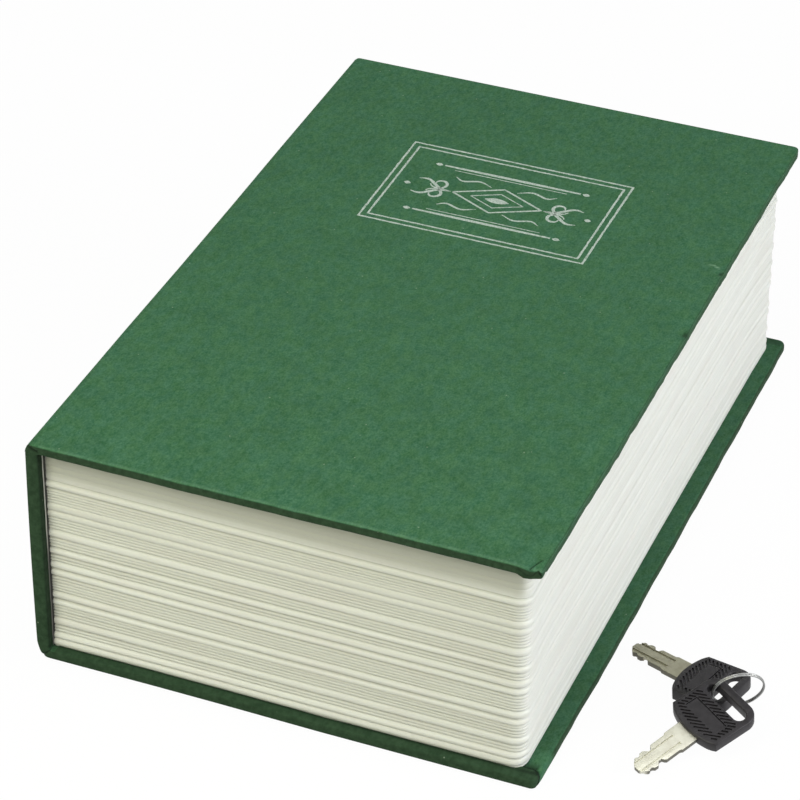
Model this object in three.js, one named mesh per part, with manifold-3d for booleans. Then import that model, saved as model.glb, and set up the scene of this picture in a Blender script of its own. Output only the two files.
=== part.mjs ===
// Book diversion safe: a steel cash box with a hinged, locked lid, set in a moulded page block
// inside a cloth-bound book case, with its two keys lying beside it. Millimetres, +Z up.
// The origin is the middle of the case's underside. +X runs from the spine to the fore edge,
// and +Y from the tail to the head of the book.

import * as THREE from 'three';
import { mergeVertices } from 'three/addons/utils/BufferGeometryUtils.js';
import Module from 'manifold-3d';

const wasm = await Module();
wasm.setup();

// Book case
const CASE_LENGTH = 180; // tail to head
const CASE_WIDTH = 115; // spine to fore edge
const CASE_HEIGHT = 57;
const BOARD = 1.8; // grey board
const CLOTH = 0.25;
const PAPER = 0.15;
const TURN_IN = 12; // cloth folded over on to a board's inner face
const PAPER_BORDER = 3.5; // cloth left bare round an endpaper
const BOARD_CORNER = 2; // radius of the outer corners in plan
const SPINE_EDGE = 1.25; // radius of the spine board's long outer edges
const JOINT_GAP = 0.25; // spine to the front cover's edge

// Foil frame and ornament on the front cover
const FOIL = 0.08;
const FOIL_LINE = 0.5;
const FRAME_WIDTH = 55.4;
const FRAME_HEIGHT = 36.4;
const FRAME_STEP = 1.7; // outer frame to inner frame
const FRAME_FROM_SPINE = 56.6; // to the frame's centre
const FRAME_FROM_HEAD = 50.4;
const RULE_LENGTH = 34;
const RULE_SPREAD = 21; // between the two rules
const LOZENGE_LENGTH = 22;
const LOZENGE_HEIGHT = 11;

// Page block
const SQUARE = 3; // how far the boards stand out past the block
const BLOCK_SPINE_GAP = 0.3;
const BLOCK_WALL = 3;
const BLOCK_FLOOR = 1.5;
const BLOCK_CORNER = 4; // radius of the two fore-edge corners in plan
const COVER_GAP = 0.3; // block to the closed front cover
const RIM_BAND = 7.6; // plain band below the rim
const RIM_INSET = 0.45;
const BOLD_RIB_DEPTH = 0.8;
const BOLD_RIB_HALF = 0.95; // half of a bold rib's height
const FINE_RIB_DEPTH = 0.35;
const FINE_RIB_PITCH = 1.1;
const RIB_PLACES = [
  0.02, 0.061, 0.145, 0.26, 0.308, 0.445, 0.493, 0.577, 0.68, 0.793, 0.836, 0.976,
];

// Steel box
const SHEET = 1;
const BOX_FIT = 0.1; // box to page block, all round
const RIM_DROP = 1.75; // box rim below the block's rim
const LEDGE_WIDTH = 9;
const LEDGE_LIP = 5.6; // height of the ledge's folded edge
const LEDGE_END_GAP = 1;

// Rivets
const RIVET_HEAD = 2.4; // radius
const RIVET_DOME = 1.4;
const RIVET_SHANK = 1.2; // radius
const RIVET_HOLE_GAP = 0.3;
const RIVET_BITE = 1.6; // depth in the block's wall
const RIVET_HEIGHT = 29.7; // above the case's underside
const RIVET_FROM_SPINE = 10; // from the box's inner faces
const RIVET_FROM_FORE = 22;

// Piano hinge
const LEAF = 0.8;
const LEAF_OFFSET = 0.05; // lid leaf above the pin's axis
const KNUCKLE = 1.7; // radius
const PIN = 0.8; // radius
const PIN_GAP = 0.25;
const PIN_BELOW_RIM = 1.5;
const HINGE_END_GAP = 2.9; // hinge to the box's end walls
const KNUCKLES = 9;
const KNUCKLE_GAP = 0.3;
const LEAF_CLEARANCE = 0.3; // leaf to the other leaf's knuckles
const BOX_LEAF_HEIGHT = 12;
const LID_LEAF_WIDTH = 10;

// Lid
const LID_SLOT = 3.3; // knuckles to the lid's folded plate
const LID_END_GAP = 0.7; // end flanges to the box
const LID_FREE_GAP = 0.6; // free edge to the box
const LID_RAISED = 41; // length of the raised zone
const LID_SLOPE = 19;
const LID_DROP = 6; // raised zone to recessed zone
const LID_FLANGE = 8.8;
const LIP_BEND = 1.2; // radius at mid-thickness
const LIP_ANGLE = 143; // degrees
const LIP_LENGTH = 7;
const LEDGE_GAP = 0.3; // closed lid to ledge

// Lock
const LOCK_FACE = 9.5; // radius of the round face
const LOCK_FACE_HEIGHT = 2;
const LOCK_CHAMFER = 0.6;
const BARREL = 8; // radius
const BARREL_FLATS = 14; // across the two flats
const BARREL_DEPTH = 18; // below the lid
const BARREL_FIT = 0.3; // barrel to lid, washer and nut
const WASHER = 10; // radius
const WASHER_HEIGHT = 1;
const NUT_FLATS = 19;
const NUT_HEIGHT = 4;
const PLUG = 5.5; // radius
const PLUG_GAP = 0.2;
const PLUG_RECESS = 0.3;
const PLUG_END = 0.2; // plug past the barrel
const KEYWAY_CLEARANCE = 0.3;
const KEYWAY_DEPTH = 15.5;
const STUB = 5; // square that drives the cam
const STUB_FIT = 0.15;
const CAM_SHEET = 1.5;
const CAM_WIDTH = 14;
const CAM_REACH = 19;
const CAM_WALL_GAP = 1.1; // locked cam to the box
const CAM_LEDGE_GAP = 0.5; // locked cam to the ledge's lip
const CAM_LEG_GAP = 0.6; // cam's leg to the ledge's lip
const CAM_RING = 4.6; // radius
const CAM_RING_HEIGHT = 0.8;
const SCREW_HEAD = 3.2; // radius
const SCREW_DOME = 2;
const SCREW_SHANK = 1.5; // radius
const SCREW_LENGTH = 7;
const SCREW_SLOT = 0.8;

// Keys
const BLADE = 1.6; // thickness
const BLADE_WIDTH = 6.5;
const BLADE_LENGTH = 14.5;
const BLADE_TIP = 1.8; // length of the tapered tip
const BLADE_GROOVE = 0.4; // depth
const BLADE_GROOVE_WIDTH = 0.9;
const BITTING = [0, 0.9, 0.3, 1.1, 0.6]; // cut depths from tip to shoulder
const BITTING_FLAT = 0.6; // flat share of each cut
const SHOULDER = 4; // uncut length next to the head
const TANG_LENGTH = 6;
const TANG_WIDTH = 4.5;
const TANG_GAP = 0.3;
const HEAD = 2.8; // thickness
const HEAD_WIDTH = 14.5;
const HEAD_LENGTH = 12.5; // along its straight sides
const HEAD_BULGE = 1.7; // curve of the edge that faces the blade
const HEAD_SET_BACK = 1.2; // head corners behind the blade's shoulder
const HEAD_CORNER = 3;
const SLOT_CENTRE = 9.1; // from the head's front corners
const SLOT_WIDTH = 3;
const SLOT_LENGTH = 11.4;
const RING = 6.7; // radius at mid-wire
const RING_WIRE = 0.45; // radius

// How the keys lie on the floor, measured out from the fore edge and up from the tail edge.
// A key's place is its blade's tip.
const FRONT_KEY = { out: 17.6, up: 14, turn: 56.5, tilt: 11.9, roll: 9 };
const REAR_KEY = { out: 4.3, up: 49.3, turn: -15.3, tilt: 4.8, roll: 0 };
const RING_PLACE = { out: 32.6, up: 41.1, z: 6.6, lean: 63.9, turn: 127.9 };

// Facets
const ROUND = 32; // sides of a large round
const SMALL_ROUND = 16;
const ARC = 5; // steps of a rounded corner

// Places worked out from the sizes
const SPINE_X = -CASE_WIDTH / 2;
const FORE_X = CASE_WIDTH / 2;
const HEAD_Y = CASE_LENGTH / 2;
const COVER = CLOTH + BOARD + CLOTH; // a board in its cloth
const LINED = COVER + PAPER;
const EDGE = SPINE_EDGE + CLOTH;

const BLOCK_SPINE_X = SPINE_X + LINED + BLOCK_SPINE_GAP;
const BLOCK_FORE_X = FORE_X - SQUARE;
const BLOCK_Y = HEAD_Y - SQUARE;
const BLOCK_TOP = CASE_HEIGHT - LINED - COVER_GAP;
const POCKET_SPINE_X = BLOCK_SPINE_X + BLOCK_WALL;
const POCKET_FORE_X = BLOCK_FORE_X - BLOCK_WALL;
const POCKET_Y = BLOCK_Y - BLOCK_WALL;
const POCKET_Z = LINED + BLOCK_FLOOR;

const BOX_SPINE_X = POCKET_SPINE_X + BOX_FIT;
const BOX_FORE_X = POCKET_FORE_X - BOX_FIT;
const BOX_Y = POCKET_Y - BOX_FIT;
const BOX_RIM = BLOCK_TOP - RIM_DROP;
const INNER_SPINE_X = BOX_SPINE_X + SHEET;
const INNER_FORE_X = BOX_FORE_X - SHEET;
const INNER_Y = BOX_Y - SHEET;

const PIN_X = INNER_SPINE_X + KNUCKLE;
const PIN_Z = BOX_RIM - PIN_BELOW_RIM;
const LEAF_TOP = LEAF_OFFSET + LEAF;
const HINGE_LENGTH = 2 * (INNER_Y - HINGE_END_GAP);

// Places in the lid's own frame, whose origin is the hinge pin
const LID_START = KNUCKLE + LID_SLOT;
const LID_END = INNER_FORE_X - LID_FREE_GAP - PIN_X;
const LID_HALF = INNER_Y - LID_END_GAP;
const LID_TOP = LEAF_TOP + SHEET;
const RECESS_UNDER = LEAF_TOP - LID_DROP;
const LEDGE_TOP = PIN_Z + RECESS_UNDER - LEDGE_GAP;
const LIP_UNDER = LEDGE_TOP - LEDGE_LIP;
const LEDGE_X = INNER_FORE_X - LEDGE_WIDTH;
const LOCK_X = INNER_FORE_X - CAM_WALL_GAP - CAM_REACH;

// Heights in the lock's own frame, whose origin is on the lid's underside
const LOCK_ZERO = PIN_Z + RECESS_UNDER;
const CAM_TOP = -BARREL_DEPTH - PLUG_END;
const CAM_UNDER = CAM_TOP - CAM_SHEET;
const TONGUE_TOP = LIP_UNDER - CAM_LEDGE_GAP - LOCK_ZERO;
const CAM_LEG = LEDGE_X - CAM_LEG_GAP - LOCK_X;
const SCREW_SEAT = CAM_UNDER - CAM_RING_HEIGHT;

// Colour, roughness and metalness of each finish
const FINISHES = {
  cloth: { color: 0x41704a, roughness: 0.85, metalness: 0 },
  board: { color: 0x8d8678, roughness: 0.95, metalness: 0 },
  paper: { color: 0xf1f1ec, roughness: 0.9, metalness: 0 },
  foil: { color: 0xc9cfd0, roughness: 0.35, metalness: 0.9 },
  block: { color: 0xcfd0c3, roughness: 0.6, metalness: 0 },
  powder: { color: 0x2b2c2e, roughness: 0.55, metalness: 0.1 },
  plate: { color: 0xc8cacb, roughness: 0.2, metalness: 1 },
  blade: { color: 0xb9b6a6, roughness: 0.3, metalness: 1 },
  moulding: { color: 0x2a2a2c, roughness: 0.5, metalness: 0 },
};

function radians(degrees) {
  return (degrees * Math.PI) / 180;
}

// A solid for cutting and joining, from a closed geometry
function solid(geometry) {
  const bare = geometry.clone();
  bare.deleteAttribute('normal');
  bare.deleteAttribute('uv');
  const merged = mergeVertices(bare, 1e-4);
  const vertProperties = new Float32Array(merged.attributes.position.array);
  const triVerts = new Uint32Array(merged.index.array);
  return new wasm.Manifold(new wasm.Mesh({ numProp: 3, vertProperties, triVerts }));
}

// The geometry of a solid that has been cut or joined
function shell(body) {
  const mesh = body.getMesh();
  const geometry = new THREE.BufferGeometry();
  geometry.setAttribute('position', new THREE.BufferAttribute(mesh.vertProperties, 3));
  geometry.setIndex(new THREE.BufferAttribute(mesh.triVerts, 1));
  geometry.computeVertexNormals();
  return geometry;
}

function cut(geometry, ...tools) {
  return shell(tools.reduce((body, tool) => body.subtract(solid(tool)), solid(geometry)));
}

function join(geometry, ...others) {
  return shell(others.reduce((body, other) => body.add(solid(other)), solid(geometry)));
}

function common(geometry, other) {
  return shell(solid(geometry).intersect(solid(other)));
}

// A block between two faces on each axis
function block([x0, x1], [y0, y1], [z0, z1]) {
  const geometry = new THREE.BoxGeometry(x1 - x0, y1 - y0, z1 - z0);
  return geometry.translate((x0 + x1) / 2, (y0 + y1) / 2, (z0 + z1) / 2);
}

// A shape drawn in X and Y, raised from one height to another
function raise(shape, z0, z1, curveSegments = ROUND / 2) {
  const settings = { depth: z1 - z0, bevelEnabled: false, curveSegments };
  return new THREE.ExtrudeGeometry(shape, settings).translate(0, 0, z0);
}

// A shape drawn in X and Z, run along Y
function run(shape, y0, y1, curveSegments = ROUND / 2) {
  const settings = { depth: y1 - y0, bevelEnabled: false, curveSegments };
  return new THREE.ExtrudeGeometry(shape, settings).rotateX(Math.PI / 2).translate(0, y1, 0);
}

// A profile of radius and height, turned about the Z axis
function turn(profile, sides = ROUND) {
  const points = profile.map(([radius, z]) => new THREE.Vector2(radius, z));
  return new THREE.LatheGeometry(points, sides).rotateX(Math.PI / 2);
}

function disc(radius, z0, z1, sides = ROUND) {
  return turn([[0, z0], [radius, z0], [radius, z1], [0, z1]], sides);
}

// A polygon whose corners are rounded by the radii given with them
function rounded(corners) {
  const shape = new THREE.Shape();
  corners.forEach(([x, y, radius = 0], i) => {
    const corner = new THREE.Vector2(x, y);
    const before = new THREE.Vector2(...corners.at(i - 1).slice(0, 2));
    const after = new THREE.Vector2(...corners[(i + 1) % corners.length].slice(0, 2));
    const into = before.sub(corner).normalize().multiplyScalar(radius).add(corner);
    const out = after.sub(corner).normalize().multiplyScalar(radius).add(corner);
    if (i === 0) shape.moveTo(into.x, into.y);
    else shape.lineTo(into.x, into.y);
    if (radius > 0) {
      const bend = new THREE.QuadraticBezierCurve(into, corner, out);
      bend.getPoints(ARC).slice(1).forEach((point) => shape.lineTo(point.x, point.y));
    }
  });
  shape.closePath();
  return shape;
}

function rectangle(x0, x1, y0, y1) {
  return rounded([[x0, y0], [x1, y0], [x1, y1], [x0, y1]]);
}

// Bent sheet of one thickness, from the line at its mid-thickness
function sheetShape(line, thickness) {
  const half = thickness / 2;
  const sides = [1, -1].map((side) => line.map((point, i) => {
    const back = i > 0 ? point.clone().sub(line[i - 1]).normalize() : null;
    const ahead = i < line.length - 1 ? line[i + 1].clone().sub(point).normalize() : null;
    const along = (back ?? ahead).clone().add(ahead ?? back).normalize();
    const normal = new THREE.Vector2(-along.y, along.x);
    const spread = half / along.dot(ahead ?? back);
    return point.clone().addScaledVector(normal, side * spread);
  }));
  return new THREE.Shape([...sides[0].reverse(), ...sides[1]]);
}

function finish(name) {
  return new THREE.MeshStandardMaterial(FINISHES[name]);
}

function piece(name, geometry, finishName) {
  const mesh = new THREE.Mesh(geometry, finish(finishName));
  mesh.name = name;
  return mesh;
}

function groupAt(x, y, z, ...children) {
  const group = new THREE.Group();
  group.position.set(x, y, z);
  group.add(...children);
  return group;
}

// Plan of a board or its cloth, with the two fore-edge corners rounded
function boardPlan(x0, x1, halfLength, corner) {
  return rounded([
    [x0, -halfLength],
    [x1, -halfLength, corner],
    [x1, halfLength, corner],
    [x0, halfLength],
  ]);
}

// Back cover and spine, in the case's frame

function backBoard() {
  const plan = boardPlan(SPINE_X + COVER, FORE_X - CLOTH, HEAD_Y - CLOTH, BOARD_CORNER - CLOTH);
  return raise(plan, CLOTH, CLOTH + BOARD);
}

function spineBoardShape(grow) {
  const edge = SPINE_EDGE + grow;
  return rounded([
    [SPINE_X + CLOTH - grow, CLOTH - grow, edge],
    [SPINE_X + CLOTH + BOARD, CLOTH - grow],
    [SPINE_X + CLOTH + BOARD, CASE_HEIGHT - CLOTH + grow],
    [SPINE_X + CLOTH - grow, CASE_HEIGHT - CLOTH + grow, edge],
  ]);
}

function spineBoard() {
  return run(spineBoardShape(0), -HEAD_Y + CLOTH, HEAD_Y - CLOTH);
}

// One sheet of cloth round the spine and the back board, open inside past its turn-ins
function caseCloth() {
  const section = rounded([
    [SPINE_X, 0, EDGE],
    [FORE_X, 0],
    [FORE_X, COVER],
    [SPINE_X + COVER, COVER],
    [SPINE_X + COVER, CASE_HEIGHT],
    [SPINE_X, CASE_HEIGHT, EDGE],
  ]);
  const plan = boardPlan(SPINE_X, FORE_X, HEAD_Y, BOARD_CORNER);
  const skin = common(run(section, -HEAD_Y, HEAD_Y), raise(plan, 0, CASE_HEIGHT));
  const window = HEAD_Y - TURN_IN;
  const backWindow = block(
    [SPINE_X + COVER + CLOTH, FORE_X - TURN_IN], [-window, window], [CLOTH + BOARD, COVER]);
  const spineWindow = block(
    [SPINE_X + CLOTH + BOARD, SPINE_X + COVER], [-window, window], [COVER, CASE_HEIGHT - COVER]);
  return cut(skin, backBoard(), spineBoard(), backWindow, spineWindow);
}

function backEndpaper() {
  const plan = boardPlan(
    SPINE_X + LINED, FORE_X - PAPER_BORDER, HEAD_Y - PAPER_BORDER, BOARD_CORNER);
  return raise(plan, COVER, LINED);
}

function spineLining() {
  const half = HEAD_Y - PAPER_BORDER;
  const top = CASE_HEIGHT - LINED;
  return block([SPINE_X + COVER, SPINE_X + LINED], [-half, half], [COVER, top]);
}

// Front cover, in its own frame: the origin is on the joint's axis at the top of the spine

const FRONT_START = COVER + JOINT_GAP;

function frontBoard() {
  const plan = boardPlan(FRONT_START, CASE_WIDTH - CLOTH, HEAD_Y - CLOTH, BOARD_CORNER - CLOTH);
  return raise(plan, -CLOTH - BOARD, -CLOTH);
}

function frontCloth(foils) {
  const plan = boardPlan(FRONT_START, CASE_WIDTH, HEAD_Y, BOARD_CORNER);
  const half = HEAD_Y - TURN_IN;
  const window = block(
    [FRONT_START - CLOTH, CASE_WIDTH - TURN_IN], [-half, half], [-COVER, -CLOTH - BOARD]);
  return cut(raise(plan, -COVER, 0), frontBoard(), window, ...foils);
}

function frontEndpaper() {
  const plan = boardPlan(
    FRONT_START, CASE_WIDTH - PAPER_BORDER, HEAD_Y - PAPER_BORDER, BOARD_CORNER);
  return raise(plan, -LINED, -COVER);
}

const FRAME_Y = HEAD_Y - FRAME_FROM_HEAD;

// A rectangular foil line, drawn in by a step from the outer frame
function foilFrame(step) {
  const halfWidth = FRAME_WIDTH / 2 - step;
  const halfHeight = FRAME_HEIGHT / 2 - step;
  const x = FRAME_FROM_SPINE;
  const y = FRAME_Y;
  const shape = rectangle(x - halfWidth, x + halfWidth, y - halfHeight, y + halfHeight);
  const holeWidth = halfWidth - FOIL_LINE;
  const holeHeight = halfHeight - FOIL_LINE;
  shape.holes.push(rectangle(x - holeWidth, x + holeWidth, y - holeHeight, y + holeHeight));
  return raise(shape, -FOIL, 0);
}

function foilRule(side) {
  const y = FRAME_Y + (side * RULE_SPREAD) / 2;
  const x0 = FRAME_FROM_SPINE - RULE_LENGTH / 2;
  return raise(rectangle(x0, x0 + RULE_LENGTH, y - FOIL_LINE, y + FOIL_LINE), -FOIL, 0);
}

function lozenge(length, height) {
  const x = FRAME_FROM_SPINE;
  return rounded([
    [x - length / 2, FRAME_Y],
    [x, FRAME_Y - height / 2],
    [x + length / 2, FRAME_Y],
    [x, FRAME_Y + height / 2],
  ]);
}

function foilLozenge() {
  const shape = lozenge(LOZENGE_LENGTH, LOZENGE_HEIGHT);
  const share = 1 - (4 * FOIL_LINE) / LOZENGE_HEIGHT;
  shape.holes.push(lozenge(LOZENGE_LENGTH * share, LOZENGE_HEIGHT * share));
  return raise(shape, -FOIL, 0);
}

// Page block

// Heights of the block's ribs and how far its face lies back there: bold ribs with a round
// crest, fine ribs that fill the spaces between them, and a plain band below the rim
function ribLevels() {
  const bandFoot = BLOCK_TOP - RIM_BAND;
  const levels = [];
  let from = LINED;
  for (const place of RIB_PLACES) {
    const centre = LINED + place * (bandFoot - LINED);
    fineRibs(from, centre - BOLD_RIB_HALF, levels);
    for (const step of [-1, -0.5, 0, 0.5, 1]) {
      levels.push([centre + step * BOLD_RIB_HALF, BOLD_RIB_DEPTH * step * step]);
    }
    from = centre + BOLD_RIB_HALF;
  }
  levels.push([bandFoot, RIM_INSET], [BLOCK_TOP, RIM_INSET]);
  const inside = levels.filter(([z]) => z > LINED + CLOTH && z < BLOCK_TOP - CLOTH);
  inside.sort((a, b) => a[0] - b[0]);
  const spaced = [[LINED, BOLD_RIB_DEPTH]];
  for (const level of inside) {
    if (level[0] - spaced.at(-1)[0] > 0.1) spaced.push(level);
  }
  spaced.push([BLOCK_TOP, RIM_INSET]);
  return spaced;
}

function fineRibs(from, to, levels) {
  const count = Math.floor((to - from) / FINE_RIB_PITCH);
  for (let i = 0; i < count; i += 1) {
    const pitch = (to - from) / count;
    levels.push([from + (i + 0.5) * pitch, BOLD_RIB_DEPTH - FINE_RIB_DEPTH]);
    if (i < count - 1) levels.push([from + (i + 1) * pitch, BOLD_RIB_DEPTH]);
  }
}

// Outline of the block at one level, its sides drawn in by a depth
function blockOutline(depth) {
  const x0 = BLOCK_SPINE_X + depth;
  const x1 = BLOCK_FORE_X - depth;
  const y1 = BLOCK_Y - depth;
  const points = [new THREE.Vector2(x0, -y1)];
  const corners = [[-1, -90], [1, 0]];
  for (const [side, start] of corners) {
    for (let i = 0; i <= ARC; i += 1) {
      const angle = radians(start + (90 * i) / ARC);
      const x = x1 - BLOCK_CORNER + BLOCK_CORNER * Math.cos(angle);
      const y = side * (y1 - BLOCK_CORNER) + BLOCK_CORNER * Math.sin(angle);
      points.push(new THREE.Vector2(x, y));
    }
  }
  points.push(new THREE.Vector2(x0, y1));
  return points;
}

function ribbedBlock() {
  const rings = ribLevels().map(([z, depth]) => blockOutline(depth).map((p) => [p.x, p.y, z]));
  const count = rings[0].length;
  const index = [];
  for (let level = 0; level < rings.length - 1; level += 1) {
    for (let i = 0; i < count; i += 1) {
      const a = level * count + i;
      const b = level * count + ((i + 1) % count);
      index.push(a, b, b + count, a, b + count, a + count);
    }
  }
  const top = (rings.length - 1) * count;
  for (let i = 1; i < count - 1; i += 1) {
    index.push(0, i + 1, i, top, top + i, top + i + 1);
  }
  const geometry = new THREE.BufferGeometry();
  geometry.setAttribute('position', new THREE.Float32BufferAttribute(rings.flat(2), 3));
  geometry.setIndex(index);
  return geometry;
}

function pageBlock(holes) {
  const pocket = block(
    [POCKET_SPINE_X, POCKET_FORE_X], [-POCKET_Y, POCKET_Y], [POCKET_Z, BLOCK_TOP + BLOCK_WALL]);
  return cut(ribbedBlock(), pocket, ...holes);
}

// Rivets through the box's end walls

const RIVET_SPOTS = [
  { name: 'rivet_tail_spine', x: INNER_SPINE_X + RIVET_FROM_SPINE, side: -1 },
  { name: 'rivet_tail_fore', x: INNER_FORE_X - RIVET_FROM_FORE, side: -1 },
  { name: 'rivet_head_spine', x: INNER_SPINE_X + RIVET_FROM_SPINE, side: 1 },
  { name: 'rivet_head_fore', x: INNER_FORE_X - RIVET_FROM_FORE, side: 1 },
];
const RIVET_REACH = SHEET + BOX_FIT + RIVET_BITE;

// Turned about Y, with its head's flat face on the wall and its shank outward
function rivet(side) {
  const profile = [[0, RIVET_REACH], [RIVET_SHANK, RIVET_REACH], [RIVET_SHANK, 0], [RIVET_HEAD, 0]];
  for (let i = 1; i <= ARC; i += 1) {
    const angle = radians((90 * i) / ARC);
    profile.push([RIVET_HEAD * Math.cos(angle), -RIVET_DOME * Math.sin(angle)]);
  }
  profile.at(-1)[0] = 0;
  const points = profile.reverse().map(([radius, y]) => new THREE.Vector2(radius, y));
  const geometry = new THREE.LatheGeometry(points, SMALL_ROUND);
  return side > 0 ? geometry : geometry.rotateZ(Math.PI);
}

function rivetHole({ x, side }) {
  const radius = RIVET_SHANK + RIVET_HOLE_GAP;
  const y0 = side * (INNER_Y - SHEET);
  const y1 = side * (INNER_Y + RIVET_REACH + RIVET_HOLE_GAP);
  const geometry = new THREE.CylinderGeometry(radius, radius, Math.abs(y1 - y0), SMALL_ROUND);
  return geometry.translate(x, (y0 + y1) / 2, RIVET_HEIGHT);
}

// Steel box with the ledge that the cam turns under

function steelBox(holes) {
  const outside = block([BOX_SPINE_X, BOX_FORE_X], [-BOX_Y, BOX_Y], [POCKET_Z, BOX_RIM]);
  const inside = block(
    [INNER_SPINE_X, INNER_FORE_X], [-INNER_Y, INNER_Y], [POCKET_Z + SHEET, BOX_RIM + SHEET]);
  const end = INNER_Y - LEDGE_END_GAP;
  const ledge = run(rounded([
    [LEDGE_X, LIP_UNDER],
    [LEDGE_X + SHEET, LIP_UNDER],
    [LEDGE_X + SHEET, LEDGE_TOP - SHEET],
    [INNER_FORE_X + SHEET / 2, LEDGE_TOP - SHEET],
    [INNER_FORE_X + SHEET / 2, LEDGE_TOP],
    [LEDGE_X, LEDGE_TOP],
  ]), -end, end);
  return join(cut(outside, inside, ...holes), ledge);
}

// Piano hinge, in the lid's frame: the pin's axis runs through the origin

// Spans of the knuckles along Y, every other one from the first
function knuckleSpans(first) {
  const pitch = HINGE_LENGTH / KNUCKLES;
  const spans = [];
  for (let i = first; i < KNUCKLES; i += 2) {
    const y = -HINGE_LENGTH / 2 + i * pitch;
    spans.push([y + KNUCKLE_GAP / 2, y + pitch - KNUCKLE_GAP / 2]);
  }
  return spans;
}

// Knuckles on the webs that join them to a leaf, all bored for the pin
function knuckled(leaf, spans, web) {
  const circle = new THREE.Shape().absarc(0, 0, KNUCKLE, 0, 2 * Math.PI);
  const bore = new THREE.Shape().absarc(0, 0, PIN + PIN_GAP, 0, 2 * Math.PI);
  const parts = spans.flatMap(([y0, y1]) => [run(circle, y0, y1, 20), run(web, y0, y1)]);
  return cut(join(leaf, ...parts), run(bore, -HINGE_LENGTH, HINGE_LENGTH, SMALL_ROUND));
}

function boxLeaf() {
  const half = HINGE_LENGTH / 2;
  const top = -KNUCKLE - LEAF_CLEARANCE;
  const outer = -KNUCKLE;
  const plate = block([outer, outer + LEAF], [-half, half], [top - BOX_LEAF_HEIGHT, top]);
  const web = rectangle(outer, outer + LEAF, top - LEAF, 0);
  return knuckled(plate, knuckleSpans(0), web);
}

function lidLeaf() {
  const half = HINGE_LENGTH / 2;
  const start = KNUCKLE + LEAF_CLEARANCE;
  const plate = block([start, LID_LEAF_WIDTH], [-half, half], [LEAF_OFFSET, LEAF_TOP]);
  const web = rectangle(0, start + LEAF, LEAF_OFFSET, LEAF_TOP);
  return knuckled(plate, knuckleSpans(1), web);
}

function hingePin() {
  const half = HINGE_LENGTH / 2;
  return run(new THREE.Shape().absarc(0, 0, PIN, 0, 2 * Math.PI), -half, half, SMALL_ROUND);
}

// Lid, in its own frame

function lidLine() {
  const mid = LEAF_TOP + SHEET / 2;
  const low = mid - LID_DROP;
  const slopeStart = LID_START + LID_RAISED;
  const bendX = LID_END - SHEET / 2 - LIP_BEND;
  const line = [
    new THREE.Vector2(LID_START, mid),
    new THREE.Vector2(slopeStart, mid),
    new THREE.Vector2(slopeStart + LID_SLOPE, low),
  ];
  for (let i = 0; i <= ARC; i += 1) {
    const angle = radians(-90 + (LIP_ANGLE * i) / ARC);
    const x = bendX + LIP_BEND * Math.cos(angle);
    line.push(new THREE.Vector2(x, low + LIP_BEND + LIP_BEND * Math.sin(angle)));
  }
  const away = new THREE.Vector2(Math.cos(radians(LIP_ANGLE)), Math.sin(radians(LIP_ANGLE)));
  line.push(line.at(-1).clone().addScaledVector(away, LIP_LENGTH));
  return line;
}

function barrelPlan(gap) {
  const radius = BARREL + gap;
  const half = BARREL_FLATS / 2 + gap;
  const reach = Math.acos(half / radius);
  const shape = new THREE.Shape();
  shape.absarc(0, 0, radius, reach, Math.PI - reach, false);
  shape.absarc(0, 0, radius, Math.PI + reach, 2 * Math.PI - reach, false);
  shape.closePath();
  return shape;
}

function steelLid() {
  const plate = run(sheetShape(lidLine(), SHEET), -LID_HALF, LID_HALF);
  const under = LID_TOP - LID_FLANGE;
  const flanges = [-1, 1].map((side) => block(
    [LID_START, LID_START + LID_RAISED],
    [side * LID_HALF - SHEET * (side > 0), side * LID_HALF + SHEET * (side < 0)],
    [under, LID_TOP - SHEET / 2]));
  const hole = raise(barrelPlan(BARREL_FIT), -SHEET, 2 * SHEET);
  hole.translate(LOCK_X - PIN_X, 0, RECESS_UNDER);
  return cut(join(plate, ...flanges), hole);
}

// Lock, in its own frame: the origin is on the lid's underside, on the plug's axis

function lockBody() {
  const face = turn([
    [0, SHEET],
    [LOCK_FACE, SHEET],
    [LOCK_FACE, SHEET + LOCK_FACE_HEIGHT - LOCK_CHAMFER],
    [LOCK_FACE - LOCK_CHAMFER, SHEET + LOCK_FACE_HEIGHT],
    [0, SHEET + LOCK_FACE_HEIGHT],
  ]);
  const barrel = raise(barrelPlan(0), -BARREL_DEPTH, SHEET + LOCK_FACE_HEIGHT / 2);
  const bore = disc(PLUG + PLUG_GAP, -BARREL_DEPTH - SHEET, SHEET + LOCK_FACE_HEIGHT + SHEET);
  return cut(join(face, barrel), bore);
}

function lockWasher() {
  const shape = new THREE.Shape().absarc(0, 0, WASHER, 0, 2 * Math.PI);
  shape.holes.push(new THREE.Path().absarc(0, 0, BARREL + BARREL_FIT, 0, 2 * Math.PI));
  return raise(shape, -WASHER_HEIGHT, 0);
}

function lockNut() {
  const radius = NUT_FLATS / Math.sqrt(3);
  const corners = Array.from({ length: 6 }, (_, i) => {
    const angle = radians(60 * i);
    return new THREE.Vector2(radius * Math.cos(angle), radius * Math.sin(angle));
  });
  const shape = new THREE.Shape(corners);
  shape.holes.push(new THREE.Path().absarc(0, 0, BARREL + BARREL_FIT, 0, 2 * Math.PI));
  return raise(shape, -WASHER_HEIGHT - NUT_HEIGHT, -WASHER_HEIGHT);
}

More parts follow.
